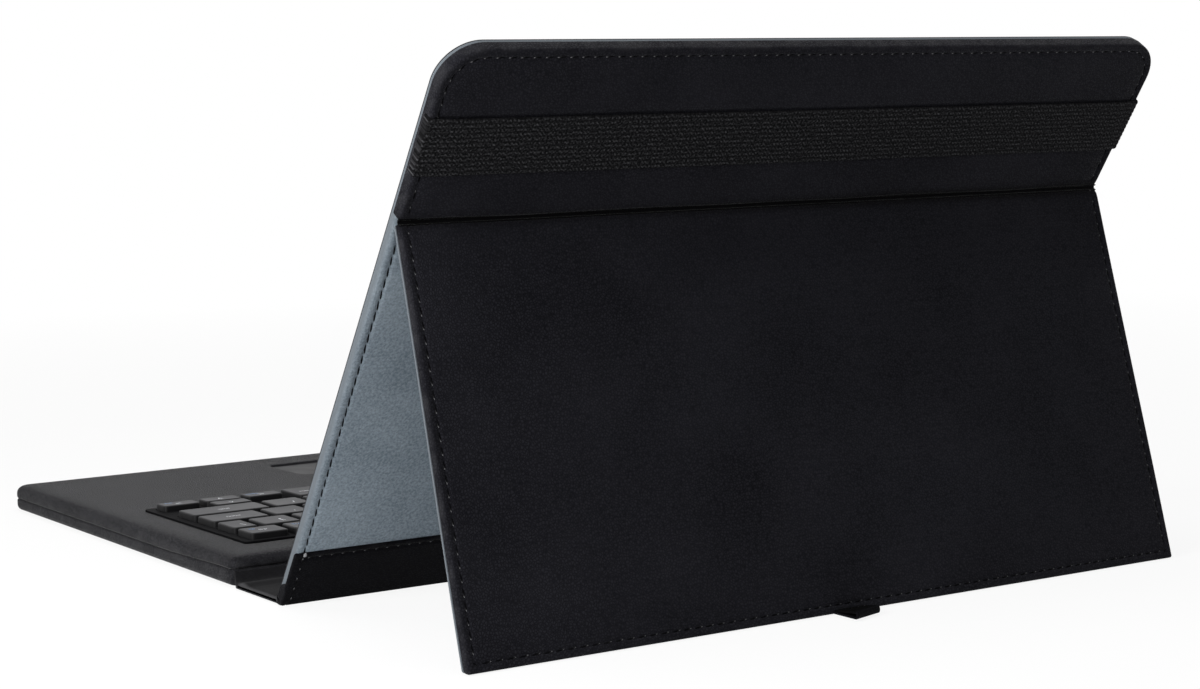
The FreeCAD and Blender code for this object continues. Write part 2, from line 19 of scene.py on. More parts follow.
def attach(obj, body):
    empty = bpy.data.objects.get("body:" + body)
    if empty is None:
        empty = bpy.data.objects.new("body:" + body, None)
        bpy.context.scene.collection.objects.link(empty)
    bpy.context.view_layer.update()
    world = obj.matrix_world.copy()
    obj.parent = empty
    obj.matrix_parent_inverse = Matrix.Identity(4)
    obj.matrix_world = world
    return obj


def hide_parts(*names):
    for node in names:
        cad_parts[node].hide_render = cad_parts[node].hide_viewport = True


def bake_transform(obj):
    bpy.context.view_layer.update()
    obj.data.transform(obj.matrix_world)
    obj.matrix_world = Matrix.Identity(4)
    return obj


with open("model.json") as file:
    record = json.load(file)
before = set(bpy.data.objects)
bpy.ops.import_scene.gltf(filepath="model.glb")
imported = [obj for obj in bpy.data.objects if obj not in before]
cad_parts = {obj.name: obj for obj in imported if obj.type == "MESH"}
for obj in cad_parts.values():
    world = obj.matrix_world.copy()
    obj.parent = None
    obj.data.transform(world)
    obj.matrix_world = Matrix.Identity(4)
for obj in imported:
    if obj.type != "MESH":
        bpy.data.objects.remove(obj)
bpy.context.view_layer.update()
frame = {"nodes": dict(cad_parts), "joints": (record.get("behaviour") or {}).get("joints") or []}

# %% [markdown]
# Each flat piece of a case is cut and sewn flat, so it is drawn flat too. A
# drawing plane is a matrix from millimetres on the cutting table to metres in
# the case: x to the right, y up the sheet, z out of the face that shows. The
# hinges of the frame give the planes their places, so nothing is fitted by eye.

# %% Drawing planes on the base, the panel, the cover and the flap
MM = 0.001
joints = {joint["name"]: joint for joint in frame["joints"]}
panel_angle = math.radians(-joints["panel_fold"]["range_deg"][0])
flap_swing = math.radians(-joints["stand_fold"]["range_deg"][0])
FACE = Matrix.Identity(4)
REVERSE = Matrix.Rotation(math.pi, 4, "Y")
UNDERSIDE = Matrix.Rotation(math.pi, 4, "X")


def pivot(joint):
    return Vector(joints[joint]["pos_m"])


def plane(point, angle, side):
    return Matrix.Translation(point) @ Matrix.Rotation(angle, 4, "X") @ side @ Matrix.Scale(MM, 4)


on_base = plane(Vector(), 0, FACE)
under_base = plane(Vector(), 0, UNDERSIDE)
panel_back = plane(pivot("panel_fold"), panel_angle, REVERSE)
panel_front = plane(pivot("panel_fold"), panel_angle, FACE)
cover_back = plane(pivot("stand_fold"), panel_angle, REVERSE)
flap_back = plane(pivot("stand_fold"), panel_angle + flap_swing, REVERSE)
flap_inside = plane(pivot("stand_fold"), panel_angle + flap_swing, FACE)


def extent(node, drawing):
    # The lowest and highest corner of a CAD node on a drawing plane, in millimetres.
    flat = drawing.inverted()
    spots = [flat @ v.co for v in frame["nodes"][node].data.vertices]
    return [min(s[k] for s in spots) for k in range(3)], [max(s[k] for s in spots) for k in range(3)]


def sheet_of(node, drawing):
    # A node's rectangle (left, right, foot, head) and its lower and upper face.
    low, high = extent(node, drawing)
    return (low[0], high[0], low[1], high[1]), low[2], high[2]


print("panel leans to", round(math.degrees(panel_angle), 1), "degrees")
print("flap swings", round(math.degrees(flap_swing), 1), "degrees")

# %% [markdown]
# The camera stands behind the case, a little above the table, just over eighty
# centimetres away. Its place and lens were solved from the straight edges of the
# case, whose real lengths the frame knows. The small roll is the photograph's own
# tilt.

# %% Camera
CASE_MIDDLE = Vector((0, 0.15, 0.08))


def put_in_scene(name, data):
    made = bpy.data.objects.new(name, data)
    bpy.context.scene.collection.objects.link(made)
    return made


camera_place = Vector((0.45636, 0.83556, 0.15250))
camera_azimuth, camera_elevation, camera_roll = (math.radians(d) for d in (147.274, 5.440, -1.432))
camera_lens = 72.71
backward = Vector((
    math.sin(camera_azimuth) * math.cos(camera_elevation),
    -math.cos(camera_azimuth) * math.cos(camera_elevation),
    math.sin(camera_elevation),
))
level = (-backward).cross(Vector((0, 0, 1))).normalized()
upright = level.cross(-backward)
across = level * math.cos(camera_roll) + upright * math.sin(camera_roll)
upward = upright * math.cos(camera_roll) - level * math.sin(camera_roll)
camera_data = bpy.data.cameras.new("camera")
camera_data.lens = camera_lens
camera_data.sensor_width = 36.0
camera = put_in_scene("camera", camera_data)
turn = Matrix((across, upward, backward)).transposed().to_4x4()
camera.matrix_world = Matrix.Translation(camera_place) @ turn
bpy.context.scene.camera = camera
print("camera", round((camera_place - CASE_MIDDLE).length, 3), "m from the case")

# %% [markdown]
# Materials are node trees. Writing each link by hand hides what a material does,
# so a few small helpers add a node with its inputs, open a shader group with named
# sockets, do sums and stretch a range. Groups hold what several finishes share:
# grain, nap, weave and wear. They give out only values that change over the surface.

# %% Node helpers
def add(tree, kind, inputs=None, **settings):
    made = tree.nodes.new(kind)
    for key, value in settings.items():
        setattr(made, key, value)
    for key, value in (inputs or {}).items():
        socket = made.inputs[key]
        if isinstance(value, bpy.types.NodeSocket):
            tree.links.new(value, socket)
        else:
            socket.default_value = value
    return made


def open_group(name, inputs, outputs):
    tree = bpy.data.node_groups.new(name, "ShaderNodeTree")
    for label, kind, value in inputs:
        socket = tree.interface.new_socket(label, in_out="INPUT", socket_type=kind)
        if value is not None:
            socket.default_value = value
    for label in outputs:
        tree.interface.new_socket(label, in_out="OUTPUT", socket_type="NodeSocketFloat")
    return tree, tree.nodes.new("NodeGroupInput").outputs, tree.nodes.new("NodeGroupOutput").inputs


def math_node(tree, operation, first, second=0.0):
    return add(tree, "ShaderNodeMath", {0: first, 1: second}, operation=operation).outputs[0]


def spread(tree, value, low, high, to_low=0.0, to_high=1.0):
    ranged = add(tree, "ShaderNodeMapRange", {
        "Value": value, "From Min": low, "From Max": high, "To Min": to_low, "To Max": to_high,
    })
    return ranged.outputs["Result"]


def noise_node(tree, place, scale, detail, **more):
    return add(
        tree, "ShaderNodeTexNoise", {"Vector": place, "Scale": scale, "Detail": detail, **more},
    ).outputs["Fac"]


def mesh_mark(tree, name):
    # A number that the mesh carries at each of its points.
    return add(tree, "ShaderNodeAttribute", attribute_name=name).outputs["Fac"]


def set_values(node, values):
    for label, value in values.items():
        node.inputs[label].default_value = value


FLOAT, VECTOR = "NodeSocketFloat", "NodeSocketVector"
print("helpers ready")

# %% [markdown]
# The covering is black split leather with a printed grain: pebbles just under a
# millimetre across, with creases between them. A Voronoi texture's distance to its
# cell walls gives exactly that, once a little noise has bent the cells out of shape.
# A slow noise gives the uneven tone of a dyed hide. Bump alone is enough here,
# because the pebbles stand up only a tenth of a millimetre or so.

# %% Shader groups: leather grain and edge wear
tree, given, result = open_group(
    "Leather Grain", [("Place", VECTOR, None), ("Pebbles per metre", FLOAT, 1150.0)], ["Height", "Tone"],
)
warp = add(tree, "ShaderNodeTexNoise", {"Vector": given["Place"], "Scale": 420.0, "Detail": 2.0})
shift = add(tree, "ShaderNodeVectorMath", {0: warp.outputs["Color"], "Scale": 0.0006}, operation="SCALE")
bent = add(tree, "ShaderNodeVectorMath", {0: given["Place"], 1: shift.outputs[0]}, operation="ADD")
pebbles = add(
    tree, "ShaderNodeTexVoronoi", {"Vector": bent.outputs[0], "Scale": given["Pebbles per metre"]},
    feature="DISTANCE_TO_EDGE",
)
slow = noise_node(tree, given["Place"], 26.0, 4.0)
crests = spread(tree, pebbles.outputs["Distance"], 0.0, 0.3)
mottled = math_node(tree, "MULTIPLY", crests, 0.65)
tree.links.new(crests, result["Height"])
cloudy = spread(tree, slow, 0.3, 0.7, 0.0, 0.35)
tree.links.new(math_node(tree, "ADD", mottled, cloudy), result["Tone"])
leather_grain = tree

tree, given, result = open_group("Edge Wear", [("Place", VECTOR, None), ("Amount", FLOAT, 0.6)], ["Mask"])
patches = spread(tree, noise_node(tree, given["Place"], 190.0, 5.0), 0.42, 0.68)
worn = math_node(tree, "MULTIPLY", mesh_mark(tree, "rim"), patches)
tree.links.new(math_node(tree, "MULTIPLY", worn, given["Amount"]), result["Mask"])
edge_wear = tree
print("groups:", leather_grain.name, "and", edge_wear.name)

# %% [markdown]
# Four leathers share one recipe: a dark and a light tone mixed by the grain, a
# painted shade where the sheet is folded and a paler tone where an edge is rubbed. The
# base is a little lighter than the flap, a painted light, and the hem and the tab are
# darker, a painted shade. One function with a few colours keeps them related;
# four separate trees would drift apart.

# %% Black leather
def open_material(name):
    material = bpy.data.materials.new(name)
    material.use_nodes = True
    nodes = material.node_tree
    return material, nodes, nodes.nodes["Principled BSDF"], add(nodes, "ShaderNodeTexCoord").outputs


def mix_colours(tree, share, first, second):
    mixed = add(tree, "ShaderNodeMix", data_type="RGBA")
    tree.links.new(share, mixed.inputs["Factor"])
    for slot, colour in ((6, first), (7, second)):
        if isinstance(colour, bpy.types.NodeSocket):
            tree.links.new(colour, mixed.inputs[slot])
        else:
            mixed.inputs[slot].default_value = (*colour, 1.0)
    return mixed.outputs[2]


def raise_surface(tree, shader, height, strength, distance):
    bump = add(tree, "ShaderNodeBump", {"Height": height, "Strength": strength, "Distance": distance})
    tree.links.new(bump.outputs["Normal"], shader.inputs["Normal"])


def paint(tree, shader, colour, roughness):
    tree.links.new(colour, shader.inputs["Base Color"])
    tree.links.new(roughness, shader.inputs["Roughness"])


PAINTED_SHADE_TONE = (0.0008, 0.0008, 0.001)


def make_leather(name, dark, light, worn_tone, wear, sheen=0.1):
    material, tree, shader, place = open_material(name)
    grain = add(tree, "ShaderNodeGroup", {"Place": place["Object"]}, node_tree=leather_grain).outputs
    rubbed = add(tree, "ShaderNodeGroup", {"Place": place["Object"], "Amount": wear}, node_tree=edge_wear)
    hide = mix_colours(tree, grain["Tone"], dark, light)
    # The fold mark mixes in the near-black painted shade tone where a crease lies in shade.
    folded = mix_colours(tree, mesh_mark(tree, "fold"), hide, PAINTED_SHADE_TONE)
    finish = mix_colours(tree, rubbed.outputs["Mask"], folded, worn_tone)
    paint(tree, shader, finish, spread(tree, grain["Height"], 0.0, 1.0, 0.82, 0.64))
    set_values(shader, {"Specular IOR Level": 0.035, "Sheen Weight": sheen, "Sheen Roughness": 0.3})
    raise_surface(tree, shader, grain["Height"], 0.5, 0.00018)
    return material


black_leather = make_leather(
    "black_grained_leather", (0.0028, 0.0028, 0.004), (0.015, 0.015, 0.0188), (0.035, 0.035, 0.038), 0.4,
)
# The pad's leather is lighter than the flap's: a painted light on the base.
pad_leather = make_leather(
    "black_pad_leather", (0.0055, 0.0055, 0.0066), (0.0205, 0.0205, 0.0232), (0.04, 0.04, 0.043), 0.4, 0.13,
)
# The hem's leather is darker: a painted shade where the hem lies between the panel and the flap.
hem_leather = make_leather(
    "black_hem_leather", (0.0014, 0.0014, 0.002), (0.0042, 0.0042, 0.0056), (0.02, 0.02, 0.022), 0.4, 0.06,
)
# The tab's leather is darker and has no sheen: a painted shade on the tab.
tab_leather = make_leather(
    "black_tab_leather", (0.0014, 0.0014, 0.002), (0.0042, 0.0042, 0.0056), (0.02, 0.02, 0.022), 0.4, 0.0,
)
print("materials:", black_leather.name, pad_leather.name, hem_leather.name, tab_leather.name)

# %% [markdown]
# The panel is lined with blue-grey suede. Suede has no grain, only a nap that lies
# this way and that, so it is three noises: one for the fibres, one for the tufts they
# clump into, and a broad, blotchy one where a hand has brushed it. Along an edge the
# grey suede is painted darker, a painted shade that tones down the edge the lamp lights,
# and the spine's worn lining is paler, where its nap is rubbed flat. The rim attribute
# of the mesh says where that is. The tablet's side has a plain black lining of the same kind.

# %% Suede and lining
tree, given, result = open_group(
    "Suede Nap", [("Place", VECTOR, None), ("Fibres per metre", FLOAT, 1900.0)], ["Height", "Tone"],
)
fibres = noise_node(tree, given["Place"], given["Fibres per metre"], 3.0, Roughness=0.7)
tufts = noise_node(tree, given["Place"], 1200.0, 3.0, Roughness=0.65)
brushed = noise_node(tree, given["Place"], 24.0, 3.0, Distortion=0.4)
pile = math_node(tree, "ADD", fibres, tufts)
tree.links.new(math_node(tree, "MULTIPLY", pile, 0.5), result["Height"])
fine = spread(tree, tufts, 0.32, 0.68, 0.0, 0.62)
broad = spread(tree, brushed, 0.34, 0.68, 0.0, 0.38)
tree.links.new(math_node(tree, "ADD", fine, broad), result["Tone"])
suede_nap = tree


def make_nap(name, dark, light, rim_tone, sheen, shine=0.15):
    material, tree, shader, place = open_material(name)
    nap = add(tree, "ShaderNodeGroup", {"Place": place["Object"]}, node_tree=suede_nap)
    body = mix_colours(tree, nap.outputs["Tone"], dark, light)
    # At the rim the grey suede gets a painted shade; the linings' rim tones are rubbed wear.
    finish = mix_colours(tree, mesh_mark(tree, "rim"), body, rim_tone)
    paint(tree, shader, finish, spread(tree, nap.outputs["Height"], 0.3, 0.7, 0.98, 0.86))
    set_values(shader, {"Specular IOR Level": shine, "Sheen Weight": sheen, "Sheen Roughness": 0.5})
    raise_surface(tree, shader, nap.outputs["Height"], 0.5, 0.00016)
    return material


grey_suede = make_nap(
    "blue_grey_suede", (0.092, 0.12, 0.148), (0.292, 0.342, 0.384), (0.1, 0.114, 0.128), 0.08,
)
black_lining = make_nap(
    "black_lining_cloth", (0.009, 0.009, 0.01), (0.022, 0.022, 0.024), (0.016, 0.016, 0.018), 0.05, 0.06,
)
worn_lining = make_nap(
    "worn_spine_lining", (0.003, 0.003, 0.0036), (0.009, 0.009, 0.01), (0.04, 0.04, 0.042), 0.03, 0.03,
)
print("materials:", grey_suede.name, "and", black_lining.name, "and", worn_lining.name)

# %% [markdown]
# Elastic is woven: covered rubber cords run along it as ribs, and the weft crosses
# them in a twill, which shows as fine slanting flecks. A painted light makes the flecks
# brightest on the crests of the ribs and a painted shade dims them between, so the ribs
# read as lines. The pattern has to follow the strap round its bends, so it reads the
# strap's own UV map, in metres along and across. The ribs themselves are real
# geometry further down.

# %% Elastic webbing
tree, given, result = open_group(
    "Elastic Weave", [("Along", VECTOR, None), ("Threads per metre", FLOAT, 800.0)], ["Height", "Fleck"],
)
sides = add(tree, "ShaderNodeSeparateXYZ", {0: given["Along"]})
along = math_node(tree, "MULTIPLY", sides.outputs["X"], given["Threads per metre"])
across_web = math_node(tree, "MULTIPLY", sides.outputs["Y"], given["Threads per metre"])
twill = math_node(tree, "FRACT", math_node(tree, "ADD", along, across_web))
ridge = math_node(tree, "PINGPONG", twill, 0.5)
stray = noise_node(tree, given["Along"], 1400.0, 2.0)
glint = spread(tree, ridge, 0.2, 0.46, 0.4, 1.0)
lit = math_node(tree, "MULTIPLY", glint, spread(tree, stray, 0.42, 0.64))
tree.links.new(ridge, result["Height"])
tree.links.new(lit, result["Fleck"])
elastic_weave = tree

material, tree, shader, place = open_material("black_elastic_webbing")
weave = add(tree, "ShaderNodeGroup", {"Along": place["UV"]}, node_tree=elastic_weave)
# The rim mark holds the rib crests: the flecks get painted light on the crests and painted shade in the
# grooves.
crest = spread(tree, mesh_mark(tree, "rim"), 0.0, 1.0, 0.15, 1.0)
threads = math_node(tree, "MULTIPLY", weave.outputs["Fleck"], crest)
webbing = mix_colours(tree, threads, (0.0032, 0.0032, 0.0036), (0.058, 0.058, 0.062))
paint(tree, shader, webbing, spread(tree, weave.outputs["Fleck"], 0.0, 1.0, 0.85, 0.6))
set_values(shader, {"Specular IOR Level": 0.04})
raise_surface(tree, shader, weave.outputs["Height"], 0.6, 0.0002)
black_elastic = material
print("material:", black_elastic.name)

# %% [markdown]
# Moulded plastic, printed ink, thread and the hidden parts have less to show, but
# none is one flat colour. One recipe covers them: a fine noise for the mould's
# texture, a slow one for the handling marks that change the gloss, and a tone
# that drifts between two close colours. The keys are satin, the plate is duller.

# %% Plastics, thread, ink and the parts inside
def make_moulded(name, dark, light, gloss, texture=1800.0, depth=0.00004, metal=0.0, shine=0.5, edge=None):
    # edge names an attribute of the mesh and the colour it brings in.
    material, tree, shader, place = open_material(name)
    fine = noise_node(tree, place["Object"], texture, 2.0)
    tone = spread(tree, noise_node(tree, place["Object"], 55.0, 3.0), 0.35, 0.65)
    colour = mix_colours(tree, tone, dark, light)
    if edge:
        colour = mix_colours(tree, mesh_mark(tree, edge[0]), colour, edge[1])
    paint(tree, shader, colour, spread(tree, tone, 0.0, 1.0, gloss - 0.05, gloss + 0.06))
    set_values(shader, {"Metallic": metal, "Specular IOR Level": shine})
    raise_surface(tree, shader, fine, 0.3, depth)
    return material


# The sides of the caps, where the rim mark lies, are painted near black: a painted shade on their walls.
key_plastic = make_moulded(
    "satin_key_plastic", (0.037, 0.037, 0.04), (0.051, 0.051, 0.055), 0.5, shine=0.15,
    edge=("rim", (0.004, 0.004, 0.0045)),
)
plate_plastic = make_moulded(
    "key_plate_plastic", (0.002, 0.002, 0.0024), (0.004, 0.004, 0.0046), 0.75, shine=0.04,
)
touch_plastic = make_moulded(
    "touchpad_plastic", (0.014, 0.014, 0.0155), (0.022, 0.022, 0.024), 0.5, shine=0.12,
)
# The marked ends of the stitches get a pale painted glint; the seam's knot has the same pale colour as its
# own.
waxed_thread = make_moulded(
    "black_waxed_thread", (0.001, 0.001, 0.0014), (0.003, 0.003, 0.0036), 0.6, 5200.0, 0.00012,
    shine=0.02, edge=("painted_glint_and_knot", (0.26, 0.26, 0.27)),
)
dull_thread = make_moulded(
    "black_dull_thread", (0.0015, 0.0015, 0.002), (0.005, 0.005, 0.006), 0.7, 5200.0, 0.00012, shine=0.03,
)
white_ink = make_moulded("white_legend_ink", (0.62, 0.64, 0.68), (0.74, 0.76, 0.8), 0.5)
blue_ink = make_moulded("blue_legend_ink", (0.1, 0.26, 0.56), (0.16, 0.36, 0.68), 0.5)
pressed_board = make_moulded(
    "pressed_fibre_board", (0.26, 0.21, 0.16), (0.38, 0.32, 0.25), 0.85, 700.0, 0.0002,
)
housing_plastic = make_moulded("housing_plastic", (0.013, 0.013, 0.015), (0.024, 0.024, 0.026), 0.5)
circuit = make_moulded("circuit_board_resist", (0.012, 0.12, 0.05), (0.03, 0.2, 0.09), 0.4)
film = make_moulded("membrane_film", (0.52, 0.55, 0.53), (0.64, 0.66, 0.64), 0.35)
rubber = make_moulded("dome_rubber", (0.6, 0.6, 0.58), (0.72, 0.72, 0.7), 0.75)
steel = make_moulded("plain_steel", (0.5, 0.5, 0.52), (0.64, 0.64, 0.65), 0.32, 900.0, 0.00003, 1.0)
foil = make_moulded("battery_foil", (0.55, 0.55, 0.56), (0.7, 0.7, 0.71), 0.3, 300.0, 0.0003, 1.0)
print("materials in all:", len(bpy.data.materials))

# %% [markdown]
# A sheet of leather over a board turns round the board's edge. Seen from above it
# is a rounded rectangle, so the mesh is a set of rounded rectangles inside each
# other: some climb the side, some go round the rolled edge, some lie level where
# a seam will press in, and a plain grid fills the middle. A subdivided cube would
# give neither the corner radii nor rings that follow the seam.

# %% Rings of a rounded rectangle
def shrunk(rect, inset):
    left, right, foot, head = rect
    return left + inset, right - inset, foot + inset, head - inset


def ring(rect, radii, share_x, share_y, arc):
    # Anticlockwise from the corner at the lower left. The radii go round the same way.
    left, right, foot, head = rect
    corners = (
        (left, foot, 1, 1, 180), (right, foot, -1, 1, 270),
        (right, head, -1, -1, 0), (left, head, 1, -1, 90),
    )
    arcs = []
    for (x, y, inward_x, inward_y, start), radius in zip(corners, radii):
        turns = [math.radians(start + 90 * k / arc) for k in range(arc + 1)]
        middle_x, middle_y = x + inward_x * radius, y + inward_y * radius
        arcs.append([(middle_x + radius * math.cos(t), middle_y + radius * math.sin(t)) for t in turns])
    runs = (share_x, share_y, [1 - s for s in reversed(share_x)], [1 - s for s in reversed(share_y)])
    points = []
    for k in range(4):
        points += arcs[k]
        (x0, y0), (x1, y1) = arcs[k][-1], arcs[(k + 1) % 4][0]
        points += [(x0 + s * (x1 - x0), y0 + s * (y1 - y0)) for s in runs[k][1:-1]]
    return points


def even_shares(length, step):
    count = max(2, round(length / step))
    return [k / count for k in range(count + 1)]


SEAM_ROWS = (-1.5, -0.9, -0.45, 0.0, 0.45, 0.9, 1.5, 2.6, 3.8, 5.2)


def rolled(bottom, top, radius, seam=None, last=14.5, turns=5):
    # Insets and heights from the foot of the side, over the edge, to the level face.
    rows = [(0.0, bottom)]
    for k in range(turns + 1):
        angle = math.pi / 2 * k / turns
        rows.append((radius * (1 - math.cos(angle)), top - radius + radius * math.sin(angle)))
    level = [0.5 * (radius + last)]
    if seam:
        level = [seam + gap for gap in SEAM_ROWS]
    rows += [(inset, top) for inset in level if radius < inset < last]
    return rows + [(last, top)]


print("ring of a key has", len(ring((0, 14, 0, 13), (1, 1, 1, 1), [0, 0.5, 1], [0, 0.5, 1], 3)), "points")

# %% [markdown]
# The relief is what a hand feels on the face: the groove that the thread pulls in,
# the welt it leaves along the edge, and the slow waviness of glued leather. It is a
# function of the place on the sheet, so stitches and legends can ask it how high
# the surface is. It fades out down the sides, which stay straight.

# %% Sheets with a sewn relief
ALL_ROUND = ("left", "right", "foot", "head")
GROOVE_WIDTH, PINCH_REACH, RIM_WIDTH = 0.6, 5.0, 1.1


def side_distance(x, y, rect, radii, sides):
    # How far a point is from the nearest of the named sides, round the corners too.
    left, right, foot, head = rect
    gaps = {"left": x - left, "right": right - x, "foot": y - foot, "head": head - y}
    corners = (("left", "foot"), ("right", "foot"), ("right", "head"), ("left", "head"))
    for (a, b), radius in zip(corners, radii):
        if a in sides and b in sides and gaps[a] < radius and gaps[b] < radius:
            return radius - math.hypot(radius - gaps[a], radius - gaps[b])
    return min(gaps[s] for s in sides)


def smooth(value):
    value = min(max(value, 0.0), 1.0)
    return value * value * (3 - 2 * value)


def bell(distance, width):
    return math.exp(-((distance / width) ** 2))


def waves(x, y, length_x, length_y, seed):
    # Smooth noise with hills about as long as the two lengths.
    return noise.noise(Vector((x / length_x, y / length_y, seed)))


def sewn(rect, radii, sides, seam, groove=0.3, welt=0.1, wave=0.16, seed=1.0, reach=45.0, pinch=0.0):
    # pinch is how much thinner the border is, where the seam presses the layers together.
    def relief(x, y):
        gap = side_distance(x, y, rect, radii, sides)
        pressed = pinch * (1 - smooth((gap - seam) / PINCH_REACH))
        height = -groove * bell(gap - seam, GROOVE_WIDTH) - pressed
        if 0 < gap < seam:
            height += welt * math.sin(math.pi * gap / seam)
        edge = side_distance(x, y, rect, radii, ALL_ROUND)
        return height + wave * waves(x, y, reach, reach, seed) * smooth((edge - 1.0) / 14.0)
    return relief


trial = sewn((0, 90, 0, 90), (1, 1, 1, 1), ALL_ROUND, 3.0)
print("a trial seam three millimetres in lies at", round(trial(45, 3), 2), "mm")

# %% [markdown]
# A drawn sheet becomes a mesh when its points and faces go through the drawing plane
# into the case. The mesh keeps the flat drawing as its UV map, and two marks on its
# points: the rim, near an edge or on a rib's crest, where the leathers and the spine's
# lining are rubbed, the grey suede and the key caps get painted shade and the webbing
# painted light and shade; and the fold, where the leather gets painted shade. Solidify
# then gives it a wall, because a sheet without one shows its thin edge wherever it ends.

# %% From a drawing to a mesh
def build(name, spots, faces, drawing, rims=None, bend=None, folds=None):
    # Local millimetres to a mesh in the case, with the flat sheet as its UV map.
    mesh = bpy.data.meshes.new(name)
    shaped = bmesh.new()
    flat = shaped.loops.layers.uv.new("flat")
    rim_layer = shaped.verts.layers.float.new("rim")
    painted_shade_layer = shaped.verts.layers.float.new("fold")
    verts = []
    for k, spot in enumerate(spots):
        vert = shaped.verts.new(spot)
        vert[rim_layer] = rims[k] if rims else 0.0
        vert[painted_shade_layer] = folds[k] if folds else 0.0
        verts.append(vert)
    for face in faces:
        made = shaped.faces.new([verts[k] for k in face])
        made.smooth = True
    for face in shaped.faces:
        for loop in face.loops:
            loop[flat].uv = (loop.vert.co.x * MM, loop.vert.co.y * MM)
    bmesh.ops.remove_doubles(shaped, verts=shaped.verts, dist=0.002)
    bmesh.ops.dissolve_degenerate(shaped, edges=shaped.edges, dist=0.0005)
    for vert in shaped.verts:
        vert.co = drawing @ (Vector(bend(*vert.co)) if bend else vert.co)
    shaped.to_mesh(mesh)
    shaped.free()
    return put_in_scene(name, mesh)


def settle(piece):
    # The modifiers' result becomes the piece's own plain mesh.
    graph = bpy.context.evaluated_depsgraph_get()
    mesh = bpy.data.meshes.new_from_object(piece.evaluated_get(graph))
    piece.modifiers.clear()
    piece.data = mesh
    mesh.set_sharp_from_angle(angle=math.radians(50))
    return piece


def add_wall(piece, thickness):
    wall = piece.modifiers.new("Wall", "SOLIDIFY")
    wall.thickness = thickness * MM
    wall.offset = -1.0


def thicken(piece, thickness):
    add_wall(piece, thickness)
    return settle(piece)


print("meshes carry the marks rim and fold and the map flat")

# %% [markdown]
# Now the rings can be filled in. The skin of a board is a row of rings from the foot
# of its side to the level face, and a grid in the middle, where openings are left out.
# The relief lifts the points, fully on the face and not at all at the foot of the side.
# Last, a finished piece is dressed: it gets its material and its body.

# %% The skin of a board
def ring_faces(rows):
    # Quads between closed rings that have the same number of points.
    faces = []
    for outer, inner in zip(rows, rows[1:]):
        for k in range(len(outer)):
            after = (k + 1) % len(outer)
            faces.append((outer[k], outer[after], inner[after], inner[k]))
    return faces


def grid_faces(height, width, start=0):
    # Quads of a grid whose points are numbered row after row.
    corners = [start + j * width + i for j in range(height - 1) for i in range(width - 1)]
    return [(c, c + 1, c + width + 1, c + width) for c in corners]


def skin(
    name, drawing, rect, radii, profile, relief=None, step=(3.0, 3.0), arc=8,
    shares=None, holes=(), bend=None, fold=None,
):
    left, right, foot, head = shrunk(rect, profile[-1][0])
    bottom, top = profile[0][1], profile[-1][1]
    share_x, share_y = shares or (even_shares(right - left, step[0]), even_shares(head - foot, step[1]))
    spots, rims, rows = [], [], []
    for inset, height in profile:
        points = ring(shrunk(rect, inset), [max(r - inset, 0.0) for r in radii], share_x, share_y, arc)
        rows.append(range(len(spots), len(spots) + len(points)))
        spots += [(x, y, height) for x, y in points]
        rims += [max(0.0, 1.0 - inset / RIM_WIDTH)] * len(points)
    start = len(spots)
    spots += [(left + a * (right - left), foot + b * (head - foot), top) for b in share_y for a in share_x]
    rims += [0.0] * (len(spots) - start)
    faces = ring_faces(rows)
    for face in grid_faces(len(share_y), len(share_x), start):
        x, y = ((spots[face[0]][axis] + spots[face[2]][axis]) / 2 for axis in (0, 1))
        if not any(h[0] < x < h[1] and h[2] < y < h[3] for h in holes):
            faces.append(face)
    if relief:
        spots = [(x, y, z + relief(x, y) * smooth((z - bottom) / (top - bottom))) for x, y, z in spots]
    # fold gives each point its share of painted shade.
    folds = [fold(x, y) for x, y, z in spots] if fold else None
    return build(name, spots, faces, drawing, rims, bend, folds)


def dress(piece, material, slot, body, *nodes):
    #     A finished piece gets its material, its body and the nodes it stands for.
    piece.data.materials.clear()
    piece.data.materials.append(material)
    if nodes:
        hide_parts(*nodes)
    if isinstance(body, str):
        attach(piece, body)
    else:
        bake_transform(piece)
    print(piece.name, "has", len(piece.data.polygons), "faces")
    return piece


print("a grid of three by four points has", len(grid_faces(3, 4)), "faces")

# %% [markdown]
# Every seam is a row of stitches: black thread about half a millimetre thick, one
# stitch every four millimetres or so, lying a little slantwise in its groove. A
# bump map would vanish in the silhouette and a hand-placed row would take all day,
# so one Geometry Nodes tree does all the seams: it walks along a line, drops a
# rounded stitch at each step, turns it along the line and realizes the result.

# %% Geometry Nodes: stitch row
STITCH_PITCH, STITCH_SIZE, STITCH_SLANT = 3.95, (3.1, 0.62, 0.5), 0.1
stitches = bpy.data.node_groups.new("Stitch Row", "GeometryNodeTree")
stitches.interface.new_socket("Line", in_out="INPUT", socket_type="NodeSocketGeometry")
for label, kind, value in (
    ("Pitch", FLOAT, STITCH_PITCH * MM), ("Stitch", VECTOR, [s * MM for s in STITCH_SIZE]),
    ("Slant", FLOAT, STITCH_SLANT), ("Up", VECTOR, (0.0, 0.0, 1.0)), ("Seed", "NodeSocketInt", 4),
    ("Thread", "NodeSocketMaterial", None),
):
    socket = stitches.interface.new_socket(label, in_out="INPUT", socket_type=kind)
    if value is not None:
        socket.default_value = value
stitches.interface.new_socket("Stitches", in_out="OUTPUT", socket_type="NodeSocketGeometry")
given = stitches.nodes.new("NodeGroupInput").outputs
line = add(stitches, "GeometryNodeMeshToCurve", {"Mesh": given["Line"]})
steps = add(
    stitches, "GeometryNodeResampleCurve", {"Curve": line.outputs[0], "Length": given["Pitch"]},
    mode="LENGTH",
)
tangent = add(stitches, "GeometryNodeInputTangent").outputs[0]
side = add(stitches, "ShaderNodeVectorMath", {0: given["Up"], 1: tangent}, operation="CROSS_PRODUCT")
